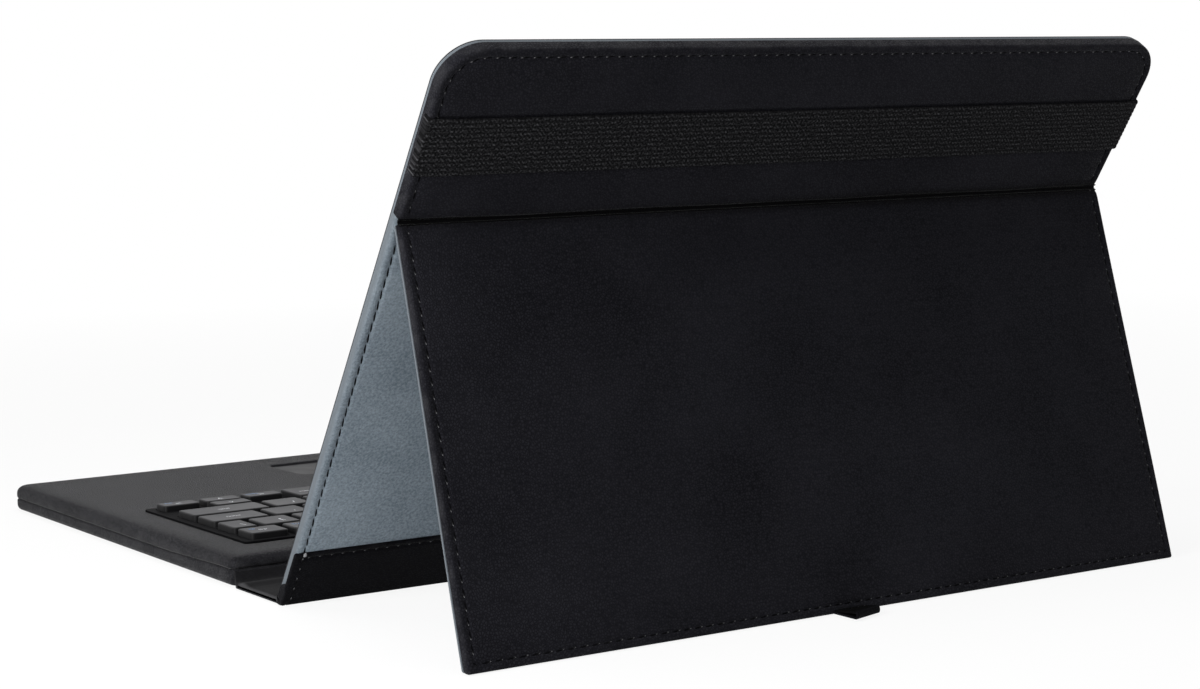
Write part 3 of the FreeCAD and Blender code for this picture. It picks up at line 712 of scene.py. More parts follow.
lean = add(stitches, "ShaderNodeVectorMath", {0: side.outputs[0], "Scale": given["Slant"]}, operation="SCALE")
heading = add(stitches, "ShaderNodeVectorMath", {0: tangent, 1: lean.outputs[0]}, operation="ADD")
forward = add(stitches, "FunctionNodeAlignRotationToVector", {"Vector": heading.outputs[0]}, axis="X")
settled = add(
    stitches, "FunctionNodeAlignRotationToVector",
    {"Rotation": forward.outputs[0], "Vector": given["Up"]}, axis="Z", pivot_axis="X",
)
uneven = add(
    stitches, "FunctionNodeRandomValue",
    {"Min": (0.9, 0.92, 0.88), "Max": (1.06, 1.08, 1.1), "Seed": given["Seed"]},
    data_type="FLOAT_VECTOR",
)
size = add(stitches, "ShaderNodeVectorMath", {0: given["Stitch"], 1: uneven.outputs[0]}, operation="MULTIPLY")
bead = add(stitches, "GeometryNodeMeshUVSphere", {"Segments": 8, "Rings": 5, "Radius": 0.5})
where = add(stitches, "GeometryNodeInputPosition").outputs[0]
# The far end of each stitch is marked for a painted glint.
far_end = spread(stitches, add(stitches, "ShaderNodeSeparateXYZ", {0: where}).outputs["X"], 0.3, 0.5)
marked = add(
    stitches, "GeometryNodeStoreNamedAttribute",
    {"Geometry": bead.outputs["Mesh"], "Name": "painted_glint_and_knot", "Value": far_end},
)
rounded = add(stitches, "GeometryNodeSetShadeSmooth", {"Geometry": marked.outputs[0]})
placed = add(stitches, "GeometryNodeInstanceOnPoints", {
    "Points": steps.outputs[0], "Instance": rounded.outputs[0],
    "Rotation": settled.outputs[0], "Scale": size.outputs[0],
})
whole = add(stitches, "GeometryNodeRealizeInstances", {"Geometry": placed.outputs[0]})
painted = add(
    stitches, "GeometryNodeSetMaterial", {"Geometry": whole.outputs[0], "Material": given["Thread"]},
)
stitches.links.new(painted.outputs[0], stitches.nodes.new("NodeGroupOutput").inputs[0])
stitch_inputs = {s.name: s.identifier for s in stitches.interface.items_tree if s.in_out == "INPUT"}
print("stitch row inputs:", ", ".join(stitch_inputs))

# %% [markdown]
# A row needs a line to follow. The line is the sheet's own outline, shrunk by the
# seam's inset and cut open where there is no seam. Its points are lifted on to the
# relief and bent as the sheet is bent, so the thread lies in its groove at every
# place. A seam drawn by hand would float here and sink there.

# %% Sewing: lines on a sheet and the rows along them
def seam_line(rect, radii, inset, keep=None, past_foot=0.0, past_head=0.0):
    # The ring at an inset, cut open where keep says no, as one list of points. A side
    # that has no seam is moved out of the way first.
    left, right, foot, head = rect
    inner = shrunk((left, right, foot - past_foot, head + past_head), inset)
    shares = even_shares(inner[1] - inner[0], 1.0), even_shares(inner[3] - inner[2], 1.0)
    points = ring(inner, [max(r - inset, 0.0) for r in radii], *shares, 8)
    if not keep:
        return points + points[:1]
    kept = [keep(*p) for p in points]
    first = next(k for k in range(len(points)) if kept[k] and not kept[k - 1])
    turned = points[first:] + points[:first]
    return [p for p in turned if keep(*p)]


def sew(
    name, drawing, lines, height, body, thread=waxed_thread, bend=None,
    pitch=STITCH_PITCH, stitch=STITCH_SIZE, slant=STITCH_SLANT, seed=4,
):
    # height gives the surface at a place on the sheet.
    spots, edges = [], []
    for points in lines:
        begin = len(spots)
        for x, y in points:
            spot = Vector((x, y, height(x, y)))
            spots.append(drawing @ (Vector(bend(*spot)) if bend else spot))
        edges += [(k, k + 1) for k in range(begin, len(spots) - 1)]
    mesh = bpy.data.meshes.new(name)
    mesh.from_pydata(spots, edges, [])
    row = put_in_scene(name, mesh)
    needle = row.modifiers.new("Sewing", "NODES")
    needle.node_group = stitches
    up = (drawing.to_3x3() @ Vector((0, 0, 1))).normalized()
    values = {
        "Pitch": pitch * MM, "Stitch": [s * MM for s in stitch], "Slant": slant,
        "Up": list(up), "Seed": seed, "Thread": thread,
    }
    for label, value in values.items():
        needle[stitch_inputs[label]] = value
    settle(row)
    return dress(row, thread, "black_leather", body)


print("a trial seam has", len(seam_line((0, 90, 0, 90), (1, 1, 1, 1), 3.0)), "points")

# %% [markdown]
# The base is two leather layers, one over the other, with a seam half way up the
# side. The upper one is padded: it rounds over at the edge and dips at the
# touchpad, and the key plate's lip lies on it. Its middle needs two openings, so
# the grid gets lines exactly on their edges and the cells inside are left out. The
# rings round the touchpad then carry the leather down into its recess.

# %% Base: padded top layer
LEATHER, SEAM_LIFT, SEAM_CLIMB = 0.8, 0.3, 1.1
FRONT_CORNER, REAR_CORNER = 6.0, 3.0
pad_rect, seam_height, pad_top = sheet_of("pad_wrap", on_base)
seam_height += SEAM_LIFT
lip_rect, _, _ = sheet_of("key_plate", on_base)
touch_rect, _, touch_top = sheet_of("touchpad", on_base)
LIP_COVER, TOUCH_GAP, TOUCH_ROLL, PAD_INSET = 1.25, 0.15, 4.0, 9.0
key_opening = shrunk(lip_rect, LIP_COVER)
touch_opening = shrunk(touch_rect, -TOUCH_GAP)
touch_border = shrunk(touch_opening, -TOUCH_ROLL)


def stations(stops, step):
    # Grid lines that pass through every stop, with even steps between them.
    lines = [stops[0]]
    for a, b in zip(stops, stops[1:]):
        count = max(1, round((b - a) / step))
        lines += [a + (b - a) * k / count for k in range(1, count + 1)]
    return lines


def as_shares(lines):
    return [(v - lines[0]) / (lines[-1] - lines[0]) for v in lines]


GRID_STEP = 3.2
middle = shrunk(pad_rect, PAD_INSET)
pad_x = stations(
    [middle[0], key_opening[0], touch_border[0], touch_border[1], key_opening[1], middle[1]], GRID_STEP,
)
pad_y = stations(
    [middle[2], touch_border[2], touch_border[3], key_opening[2], key_opening[3], middle[3]], GRID_STEP,
)
pad_radii = (FRONT_CORNER, FRONT_CORNER, REAR_CORNER, REAR_CORNER)
# Both layers turn in at the seam: insets, and heights from the seam.
SEAM_LIP = ((2.4, -0.1), (1.0, -0.03), (0.5, 0.12), (0.2, 0.36), (0.04, 0.7), (0.0, 1.1))
# The padded shoulder: insets, and depths below the top.
PAD_SHOULDER = (
    (0.0, 3.3), (0.14, 2.4), (0.5, 1.65), (1.15, 1.0), (2.0, 0.54),
    (3.2, 0.24), (5.0, 0.07), (7.0, 0.0), (PAD_INSET, 0.0),
)
pad_profile = [(inset, seam_height + rise) for inset, rise in SEAM_LIP]
pad_profile += [(inset, pad_top - depth) for inset, depth in PAD_SHOULDER]


def pad_relief(x, y):
    edge = side_distance(x, y, pad_rect, pad_radii, ALL_ROUND)
    return 0.12 * waves(x, y, 30, 30, 2.0) * smooth((edge - 1) / 8) - 0.1 * smooth((edge - 6) / 10)


def climb(y, z):
    # The seam rises a little to the rear, where the lower layer runs out into the spine.
    return SEAM_CLIMB * smooth((y - 45.0) / 60.0) * bell(z - seam_height, 2.0)


pad = skin(
    "pad_wrap_leather", on_base, pad_rect, pad_radii, pad_profile, pad_relief,
    shares=(as_shares(pad_x), as_shares(pad_y)), holes=(key_opening, touch_border),
    bend=lambda x, y, z: (x, y, z + climb(y, z)),
)
print("pad", [round(v, 2) for v in pad_rect], "top", round(pad_top, 2))

# %% [markdown]
# The touchpad's recess is a second set of rings: from the square hole in the grid
# to a rounded one that rolls over and drops to the pad. It joins the first mesh,
# the doubled points merge, and one Solidify gives the leather its wall. A boolean
# with two small boxes then opens the slots for the charging socket and the switch.

# %% Base: touchpad recess and side slots
TOUCH_CORNER = 3.0


def shares_inside(lines, low, high):
    return as_shares([v for v in lines if low - 0.01 < v < high + 0.01])


share_x = shares_inside(pad_x, *touch_border[:2])
share_y = shares_inside(pad_y, *touch_border[2:])
spots, rows = [], []
for outset, height in (
    (TOUCH_ROLL, pad_top), (1.8, pad_top), (1.0, pad_top - 0.06), (0.5, pad_top - 0.22),
    (0.15, pad_top - 0.5), (0.0, pad_top - 0.9), (0.0, touch_top - 0.5),
):
    radius = 0.0 if outset == TOUCH_ROLL else TOUCH_CORNER + outset
    points = ring(shrunk(touch_opening, -outset), [radius] * 4, share_x, share_y, 8)
    rows.append(range(len(spots), len(spots) + len(points)))
    spots += [(x, y, height + (pad_relief(x, y) if height > pad_top - 0.1 else 0.0)) for x, y in points]
recess = build("touchpad_recess", spots, ring_faces(rows), on_base)


def join(first, *others):
    # Other meshes go into the first, and touching points become one.
    joined = bmesh.new()
    for piece in (first, *others):
        joined.from_mesh(piece.data)
    bmesh.ops.remove_doubles(joined, verts=joined.verts, dist=0.004 * MM)
    joined.to_mesh(first.data)
    joined.free()
    for piece in others:
        bpy.data.objects.remove(piece)
    return first


def box_cutter(name, low, high):
    left, front, bottom = low
    right, back, top = high
    corners = ((left, front), (right, front), (right, back), (left, back))
    spots = [(x, y, z) for z in (bottom, top) for x, y in corners]
    faces = [(3, 2, 1, 0), (4, 5, 6, 7)] + [(k, (k + 1) % 4, (k + 1) % 4 + 4, k + 4) for k in range(4)]
    return build(name, spots, faces, on_base)


SLOT_ROOM, KNOB_HALF = 0.3, 1.5
socket_low, socket_high = extent("charging_port", on_base)
switch_low, switch_high = extent("power_switch", on_base)
slide_middle = (switch_low[1] + switch_high[1]) / 2
travel = joints["power_switch_slide"]["range_m"][1] / MM
slots = [
    box_cutter(
        "socket_slot", (pad_rect[0] - 1, socket_low[1] - SLOT_ROOM, socket_low[2] - SLOT_ROOM / 2),
        (socket_low[0] + 1, socket_high[1] + SLOT_ROOM, socket_high[2] + SLOT_ROOM / 2),
    ),
    box_cutter(
        "switch_slot", (pad_rect[0] - 1, slide_middle - KNOB_HALF - SLOT_ROOM, switch_low[2] - SLOT_ROOM),
        (socket_low[0] + 1, slide_middle + KNOB_HALF + travel + SLOT_ROOM, switch_high[2] + SLOT_ROOM),
    ),
]
join(pad, recess)
thicken(pad, LEATHER)
for slot in slots:
    cut = pad.modifiers.new("Slot", "BOOLEAN")
    cut.operation = "DIFFERENCE"
    cut.object = slot
    settle(pad)
    bpy.data.objects.remove(slot)
dress(pad, pad_leather, "black_leather", "keyboard_base", "pad_wrap")

# %% [markdown]
# The lower layer is the case's own leather, glued over a board. It is drawn from
# below, because its outside is the underside: level on the table, rounded at the
# edge, then up the side to the seam.

# %% Base: lower cover
cover_rect = (pad_rect[0], pad_rect[1], -pad_rect[3], -pad_rect[2])
lower_profile = [(inset, -seam_height + rise) for inset, rise in SEAM_LIP] + [
    (0.0, -2.2), (0.14, -1.5), (0.5, -0.8), (1.1, -0.3), (1.9, -0.06), (2.8, 0.0), (9.0, 0.0),
]
lower = skin(
    "base_cover_leather", under_base, cover_rect,
    (REAR_CORNER, REAR_CORNER, FRONT_CORNER, FRONT_CORNER), lower_profile, step=(6.0, 6.0),
    bend=lambda x, y, z: (x, y, z - climb(-y, -z)),
)
thicken(lower, LEATHER)
dress(lower, pad_leather, "black_leather", "keyboard_base", "base_cover")

# %% [markdown]
# Between base and panel lies the spine, a soft strip that never lies quite flat. Its
# liner starts under the pad, runs down the end of the base, humps up once and only
# then lies level. It crosses a hinge as one sheet. A cloth simulation could find the
# hump, but the photograph shows its place, so the heights are a short table with smooth
# steps in between.

# %% Spine
spine_rect, liner_low, liner_top = sheet_of("spine_liner", on_base)
rear_edge = pad_rect[3]
SPINE_SKIRT, LINER_TUCK, EDGE_SHOWS, LINER_TAPER = 0.7, 1.8, 3.5, 0.009
spine_levels = (
    (-LINER_TUCK, 5.7), (4.6, 2.1), (8.2, 2.7), (13.0, liner_top - 0.1), (40.0, liner_top - 0.1),
)


def spine_level(behind):
    # The liner's height behind the base: down the end of the base, over the hump, flat.
    for (a, low), (b, high) in zip(spine_levels, spine_levels[1:]):
        if behind <= b:
            return low + (high - low) * smooth((behind - a) / (b - a))
    return spine_levels[-1][1]


def liner_relief(x, y):
    behind = y - rear_edge
    drift = noise.noise(Vector((x / 26, 0.3, 5.0)))
    rucks = 0.35 * waves(x, y, 5, 3, 9.0) * smooth((abs(x) - 112) / 16)
    rucks = rucks * smooth(behind / 2) * smooth((9 - behind) / 5)
    ripple = 0.2 * waves(x, y, 22, 9, 7.0) * smooth((behind - 9) / 6) * smooth((spine_rect[3] - y) / 6)
    return spine_level(behind + 0.7 * drift) - liner_top + rucks + ripple


def narrow_at_base(x, y, z):
    return x * (1 - LINER_TAPER * (1 - smooth((y - rear_edge + 1) / 5))), y, z


liner_rect = (spine_rect[0], spine_rect[1], rear_edge - LINER_TUCK, spine_rect[3])
liner = skin(
    "spine_liner_cloth", on_base, liner_rect, (1.5, 1.5, 0.6, 0.6),
    rolled(SPINE_SKIRT, liner_top, 0.5, last=2.0, turns=3), liner_relief,
    step=(2.4, 0.7), arc=3, bend=narrow_at_base,
)
for vert, mark in zip(liner.data.vertices, liner.data.attributes["rim"].data):
    mark.value *= smooth((vert.co.y / MM - rear_edge - EDGE_SHOWS) / EDGE_SHOWS)
thicken(liner, 0.5)
liner_start = (0.0, (rear_edge + 0.3) * MM, pivot("spine_fold").z)
liner_end = (0.0, (rear_edge + 4.8) * MM, pivot("spine_fold").z)
dress(liner, worn_lining, "black_lining", ("keyboard_base", "spine", liner_start, liner_end), "spine_liner")
strip_rect = (spine_rect[0], spine_rect[1], -spine_rect[3], -spine_rect[2])
strip = skin(
    "spine_strip_leather", under_base, strip_rect, (0.6, 0.6, 0.6, 0.6),
    rolled(-liner_low, 0.0, 0.6, last=3.0, turns=4), step=(4.0, 3.0), arc=2,
)
thicken(strip, LEATHER)
dress(strip, black_leather, "black_leather", "spine", "spine_leather")

# %% [markdown]
# A hinge of a folder is only its covering, left without a board. The strip behind
# the base is drawn as a section along Y and swept across the width. It starts
# inside the base cover and ends inside the spine.

# %% Hinge strip between base and spine
def sweep(name, section, half_width, step):
    # A section in Y and Z, millimetres in the case, carried across X.
    count = round(2 * half_width / step)
    columns = [-half_width + 2 * half_width * k / count for k in range(count + 1)]
    spots = [(x, y, z) for x in columns for y, z in section]
    faces = [(a, d, c, b) for a, b, c, d in grid_faces(count + 1, len(section))]
    return build(name, spots, faces, on_base)


base_axis = pivot("spine_fold") / MM
TONGUE_HALF, HINGE_START, HINGE_LENGTH = 131.0, -3.4, 6.6
DIP_DEPTH, DIP_WIDTH = 0.35, 1.3
hinge_section = []
for k in range(13):
    reach = HINGE_START + HINGE_LENGTH * k / 12
    dip = DIP_DEPTH * bell(reach, DIP_WIDTH)
    hinge_section.append((base_axis.y + reach, base_axis.z + LEATHER / 2 - dip))
hinge_strip = sweep("base_hinge_leather", hinge_section, TONGUE_HALF, 4.0)
thicken(hinge_strip, 0.6)
bend_ends = [(0.0, pivot("spine_fold").y + gap * MM, pivot("spine_fold").z) for gap in (-1.6, 1.6)]
dress(hinge_strip, black_leather, "black_leather", ("keyboard_base", "spine", *bend_ends))

# %% [markdown]
# The tablet panel is a board between two sheets. The suede covers its back and
# turns round the edge, so its rim shows from the side, and the black lining covers
# the front. A row of stitches three millimetres in holds both. The suede's border
# outside the seam stands up as a soft welt, which the relief draws.

# %% Panel: suede back and black front
PANEL_HEAD_CORNER, PANEL_FOOT_CORNER, PANEL_SEAM = 13.0, 3.0, 3.2
panel_radii = (PANEL_FOOT_CORNER, PANEL_FOOT_CORNER, PANEL_HEAD_CORNER, PANEL_HEAD_CORNER)
suede_rect, suede_low, suede_top = sheet_of("panel_suede", panel_back)
suede_relief = sewn(
    suede_rect, panel_radii, ALL_ROUND, PANEL_SEAM, groove=0.35, welt=0.14, wave=0.12, seed=11.0,
)
suede = skin(
    "panel_suede_back", panel_back, suede_rect, panel_radii,
    rolled(suede_low, suede_top, 1.0, PANEL_SEAM), suede_relief, arc=16,
)
thicken(suede, 0.6)
dress(suede, grey_suede, "grey_suede", "tablet_panel", "panel_suede")
lining_rect, lining_low, lining_top = sheet_of("panel_lining", panel_front)
lining_relief = sewn(
    lining_rect, panel_radii, ALL_ROUND, PANEL_SEAM, groove=0.3, welt=0.1, wave=0.14, seed=17.0,
)
lining = skin(
    "panel_front_lining", panel_front, lining_rect, panel_radii,
    rolled(lining_low, lining_top, 0.6, PANEL_SEAM), lining_relief, arc=16,
)
thicken(lining, 0.6)
dress(lining, black_lining, "black_lining", "tablet_panel", "panel_lining")

# %% [markdown]
# The same seam shows on both faces of the panel. On the back it runs up the two sides
# between the hem and the crease, in long, dull stitches; the leather covers the rest.
# On the front it goes all the way round. Each seam is the ring of its sheet at the
# seam's inset, and the tree above lays the thread along it.

# %% Panel: its two rows of stitches
hem_head = extent("panel_hem", panel_back)[1][1]
crease_on_panel = (panel_back.inverted() @ pivot("stand_fold")).y


def on_side(side):
    return lambda x, y: hem_head < y < crease_on_panel and x * side > 0


back_seams = [seam_line(suede_rect, panel_radii, PANEL_SEAM, on_side(side)) for side in (1, -1)]
sew(
    "panel_back_stitches", panel_back, back_seams, lambda x, y: suede_top + suede_relief(x, y),
    "tablet_panel", dull_thread, stitch=(4.3, 0.72, 0.5), slant=0.17, seed=3,
)
front_seam = seam_line(lining_rect, panel_radii, PANEL_SEAM)
sew(
    "panel_front_stitches", panel_front, [front_seam], lambda x, y: lining_top + lining_relief(x, y),
    "tablet_panel", seed=5,
)

# %% [markdown]
# A leather hem closes the panel's foot and runs on round the hinge to the spine, so
# it is one sheet across a joint. It is drawn flat, sewn flat, and then its lower end
# is rolled round the hinge line: straight above it, an arc at it, and straight again
# under the spine.

# %% Panel: hem round the hinge
hem_top = suede_top + LEATHER
HEM_TAIL, HEM_SEAM, HEM_ROLL = 1.5, 1.9, 0.55
HEM_WRAP, WRAP_TOP, WRAP_FADE = 0.35, 9.0, 3.0
hinge_height = pivot("panel_fold").z / MM
bend_radius = suede_top + LEATHER / 2
arc_length = bend_radius * panel_angle
hem_drop = hem_top - hinge_height


def round_the_hinge(x, y, z):
    # Near the foot the hem's edges reach over the sides of the panel.
    if z < suede_top + 0.02:
        z -= (suede_top - suede_low) * smooth((WRAP_TOP - y) / WRAP_FADE)
    if y >= 0:
        return x, y, z
    angle = min(-y / bend_radius, panel_angle)
    tail = max(0.0, -y - arc_length)
    radius = z - hem_drop * smooth(angle / panel_angle)
    return (
        x, -radius * math.sin(angle) - tail * math.cos(angle),
        radius * math.cos(angle) - tail * math.sin(angle),
    )


hem_box = extent("panel_hem", panel_back)
hem_rect = (hem_box[0][0] - HEM_WRAP, hem_box[1][0] + HEM_WRAP, -arc_length - HEM_TAIL, hem_head)
hem_radii = (0.6, 0.6, 0.6, 0.6)
hem_relief = sewn(hem_rect, hem_radii, ("head",), HEM_SEAM, groove=0.3, welt=0.12, wave=0.1, seed=23.0)
hem = skin(
    "panel_hem_leather", panel_back, hem_rect, hem_radii,
    rolled(suede_top, hem_top, HEM_ROLL, HEM_SEAM, last=6.4), hem_relief,
    step=(3.0, 0.7), arc=3, bend=round_the_hinge,
)
thicken(hem, LEATHER - 0.1)
panel_axis = pivot("panel_fold")
hem_start = (0.0, panel_axis.y - HEM_TAIL * MM, panel_axis.z)
hem_end = tuple(panel_back @ Vector((0, 0.8, bend_radius)))
dress(hem, hem_leather, "black_leather", ("spine", "tablet_panel", hem_start, hem_end), "panel_hem")
seam_y = hem_head - HEM_SEAM
hem_line = [(x, seam_y) for x in range(round(hem_rect[1]) - 5, round(hem_rect[0]) + 5, -1)]
uprights = [
    [(side * (hem_rect[1] - PANEL_SEAM), 1.5 + k) for k in range(int(seam_y - 1.5))] for side in (-1, 1)
]
sew(
    "hem_stitches", panel_back, [hem_line, *uprights], lambda x, y: hem_top + hem_relief(x, y),
    "tablet_panel", seed=9,
)

# %% [markdown]
# Where the panel's seam runs in under the hem, the thread's end is melted into a
# small pale knot. It is a bead pressed flat, and noise leaves it as uneven as a
# drop that cooled in a hurry.

# %% Knot at the seam's end
KNOT_RADIUS, KNOT_LENGTH, KNOT_HEIGHT, KNOT_LUMPS = 0.6, 1.25, 0.7, 0.45
knot_place = Vector((-suede_rect[1] + PANEL_SEAM, hem_head - 0.5, hem_top - 0.1))
bead = bmesh.new()
pale = bead.verts.layers.float.new("painted_glint_and_knot")
bmesh.ops.create_uvsphere(bead, u_segments=12, v_segments=8, radius=KNOT_RADIUS * MM)
for vert in bead.verts:
    vert[pale] = 1.0
    lumpy = 1 + KNOT_LUMPS * noise.noise(vert.co * 2600)
    pressed = Vector((vert.co.x, KNOT_LENGTH * vert.co.y, KNOT_HEIGHT * vert.co.z))
    vert.co = panel_back @ (knot_place + pressed * lumpy / MM)
knot_mesh = bpy.data.meshes.new("seam_knot")
bead.to_mesh(knot_mesh)
bead.free()
dress(put_in_scene("seam_knot", knot_mesh), waxed_thread, "black_leather", "tablet_panel")

# %% [markdown]
# Four elastic corner straps hold the tablet. Each is a flat band across a corner,
# its ends caught in the panel's edge, bowed up a little in the middle where the
# tablet's corner slides in. Bands are woven flat, so they are modelled directly: a
# grid along and across, with the ribs of the webbing as real waves across it.

# %% Corner straps
RIB_PITCH, RIB_HEIGHT, RIB_SAMPLES, SELVEDGE_DROP, SELVEDGE = 1.55, 0.06, 6, 0.25, 0.5
STRAP_WIDTH, STRAP_BOW, BOW_REACH, STRAP_WALL, EDGE_TUCK = 14.0, 2.4, 28.0, 0.7, 1.0
STRAP_STEPS = 44


def webbing_rows(width):
    ribs = round(width / RIB_PITCH)
    count = ribs * RIB_SAMPLES
    for k in range(count + 1):
        place = width * k / count
        edge = min(place, width - place)
        crest = -math.cos(2 * math.pi * ribs * place / width)
        dropped = SELVEDGE_DROP * max(0.0, 1 - edge / SELVEDGE) ** 2
        # The last value marks the crest, for the webbing's painted light and shade.
        yield place, RIB_HEIGHT * crest - dropped, 0.5 + 0.5 * crest


def turn_outward(piece, drawing):
    # A band whose faces look into the case is turned over.
    shaped = bmesh.new()
    shaped.from_mesh(piece.data)
    outward = drawing.to_3x3() @ Vector((0, 0, 1))
    if outward.dot(sum((f.normal for f in shaped.faces), Vector())) < 0:
        bmesh.ops.reverse_faces(shaped, faces=shaped.faces)
    shaped.to_mesh(piece.data)
    shaped.free()


for label in ("bottom_left", "bottom_right", "top_left", "top_right"):
    node = "corner_strap_" + label
    strap_rect, strap_low, _ = sheet_of(node, panel_front)
    side = 1 if "right" in label else -1
    end = 1 if "top" in label else -1
    corner = Vector((side * lining_rect[1], lining_rect[3] if end > 0 else lining_rect[2]))
    outward = Vector((side, end)).normalized()
    sideways = Vector((-outward.y, outward.x))
    reach = (strap_rect[1] - strap_rect[0] - STRAP_WIDTH * math.sqrt(0.5)) * math.sqrt(0.5) + EDGE_TUCK
    rows = list(webbing_rows(STRAP_WIDTH))
    spots, crests = [], []
    for place, lift, crest in rows:
        depth = reach + place - STRAP_WIDTH / 2
        half = depth - EDGE_TUCK * math.sqrt(2)
        for k in range(STRAP_STEPS + 1):
            u = -half + 2 * half * k / STRAP_STEPS
            bow = STRAP_BOW * math.cos(math.pi / 2 * min(1.0, abs(u) / BOW_REACH)) ** 2
            spot = corner - outward * depth + sideways * u
            spots.append((spot.x, spot.y, strap_low + STRAP_WALL + bow + lift))
            crests.append(crest)
    band = build(node + "_webbing", spots, grid_faces(len(rows), STRAP_STEPS + 1), panel_front, crests)
    turn_outward(band, panel_front)
    tangent_line = (panel_front.to_3x3() @ Vector((*sideways, 0))).normalized()
    crossing = (panel_front.to_3x3() @ Vector((*outward, 0))).normalized()
    for loop, mark in zip(band.data.loops, band.data.uv_layers["flat"].data):
        spot = band.data.vertices[loop.vertex_index].co
        mark.uv = (spot.dot(tangent_line), spot.dot(crossing))
    thicken(band, STRAP_WALL)
    dress(band, black_elastic, "elastic", "tablet_panel", node)

# %% [markdown]
# Above the crease the back has a leather cover on its own board, sewn along its top
# and sides and lined with suede. Its lower edge rolls in at the crease. Leather
# that is folded often keeps soft wrinkles along the fold, so the relief adds a few,
# stretched along the crease and fading upwards.

# %% Top cover
COVER_SEAM, EDGE_ROLL, COVER_OVERHANG, COVER_WRAP, COVER_PINCH = 2.7, 0.9, 0.25, 1.1, 0.4
COVER_SINK, FLAP_SINK = 0.3, 0.8
top_rect, _, top_high = sheet_of("top_cover_leather", cover_back)
lined_rect, lined_low, lined_high = sheet_of("top_cover_suede", cover_back)
top_rect = (top_rect[0] - COVER_OVERHANG, top_rect[1] + COVER_OVERHANG, 0.0, top_rect[3] + COVER_OVERHANG)
top_radii = (0.4, 0.4, PANEL_HEAD_CORNER, PANEL_HEAD_CORNER)
SEWN_ABOVE = ("left", "right", "head")
plain_top = sewn(
    top_rect, top_radii, SEWN_ABOVE, COVER_SEAM, groove=0.32, welt=0.1, wave=0.18, seed=31.0,
    pinch=COVER_PINCH,
)


def fold_wrinkles(x, y, away, sink):
    # The sheet sinks at the fold, and long soft wrinkles die out a few millimetres from it.
    wrinkles = 0.16 * waves(x, y, 34, 2.6, 41.0) * math.exp(-away / 4.5) * smooth(away / 1.2)
    return wrinkles - sink * bell(away, 1.4)


strap_rect, strap_low, strap_high = sheet_of("closure_strap", cover_back)
strap_rect = (strap_rect[0], strap_rect[1], strap_rect[2] - 0.8, strap_rect[3] - 1.5)


def top_relief(x, y):
    # The tight strap leaves a furrow along each of its edges.
    furrows = sum(bell(y - edge, 0.9) for edge in strap_rect[2:])
    pressed = 0.4 * furrows * smooth((strap_rect[1] - abs(x) - 2) / 4)
    return plain_top(x, y) + fold_wrinkles(x, y, y, COVER_SINK) - pressed


def painted_crease_shade(x, away):
    # Painted shade: the colour darkens at the fold, more towards larger x along the crease.
    return bell(away, 2.2) * (0.3 + 0.6 * smooth((x + 70) / 130))


def crease_wander(x):
    return 0.7 * noise.noise(Vector((x / 36, 3.0, 8.0))) * smooth((134 - abs(x)) / 12)


top_cover = skin(
    "top_cover_skin", cover_back, top_rect, top_radii,
    rolled(lined_low - COVER_WRAP, top_high, EDGE_ROLL, COVER_SEAM), top_relief, step=(3.0, 0.7), arc=16,
    bend=lambda x, y, z: (x, y + crease_wander(x) * math.exp(-abs(y) / 3), z), fold=painted_crease_shade,
)
thicken(top_cover, LEATHER)
dress(top_cover, black_leather, "black_leather", "tablet_panel", "top_cover_leather")
lined = skin(
    "top_cover_lining", cover_back, shrunk(lined_rect, LEATHER), top_radii,
    rolled(lined_low + 0.02, lined_high - 0.02, 0.3, turns=3), step=(8.0, 8.0),
)
thicken(lined, 0.5)
dress(lined, grey_suede, "grey_suede", "tablet_panel", "top_cover_suede")
top_seam = seam_line(top_rect, top_radii, COVER_SEAM, lambda x, y: y > 2.5, past_foot=20.0)
clear_of_strap = [
    [p for p in top_seam if p[1] < strap_rect[2] - 1 and p[0] < 0][::-1],
    [p for p in top_seam if p[1] < strap_rect[2] - 1 and p[0] > 0],
    [p for p in top_seam if p[1] > strap_rect[3] + 1],
]
sew(
    "top_cover_stitches", cover_back, clear_of_strap, lambda x, y: top_high + top_relief(x, y),
    "tablet_panel", seed=13,
)

# %% [markdown]
# A wide elastic strap lies across the cover, goes round both side edges and is caught
# between the cover and the panel. Pulled over to the other side it keeps the case
# shut. It is one long band: a path in the section across the case, with the ribs
# of the webbing running along it.

# %% Closing strap
STRAP_TURN, LEG_LENGTH = 0.9, 15.0
strap_half = strap_rect[1]
flat_half = strap_half - STRAP_TURN
leg_height = strap_low + 0.45


def quarter_turn(middle_z, start, steps):
    # The strap's way round half of an edge, without the first point.
    angles = [start + math.pi / 2 * k / steps for k in range(1, steps + 1)]
    return [(flat_half + STRAP_TURN * math.cos(a), middle_z + STRAP_TURN * math.sin(a)) for a in angles]


def pinched(x, z):
    # The strap follows the cover down to where its seam presses it thin.
    sunk = COVER_PINCH * (1 - smooth((strap_half - x - COVER_SEAM) / PINCH_REACH))
    return x, z - sunk * smooth((z - leg_height) / 2.0)


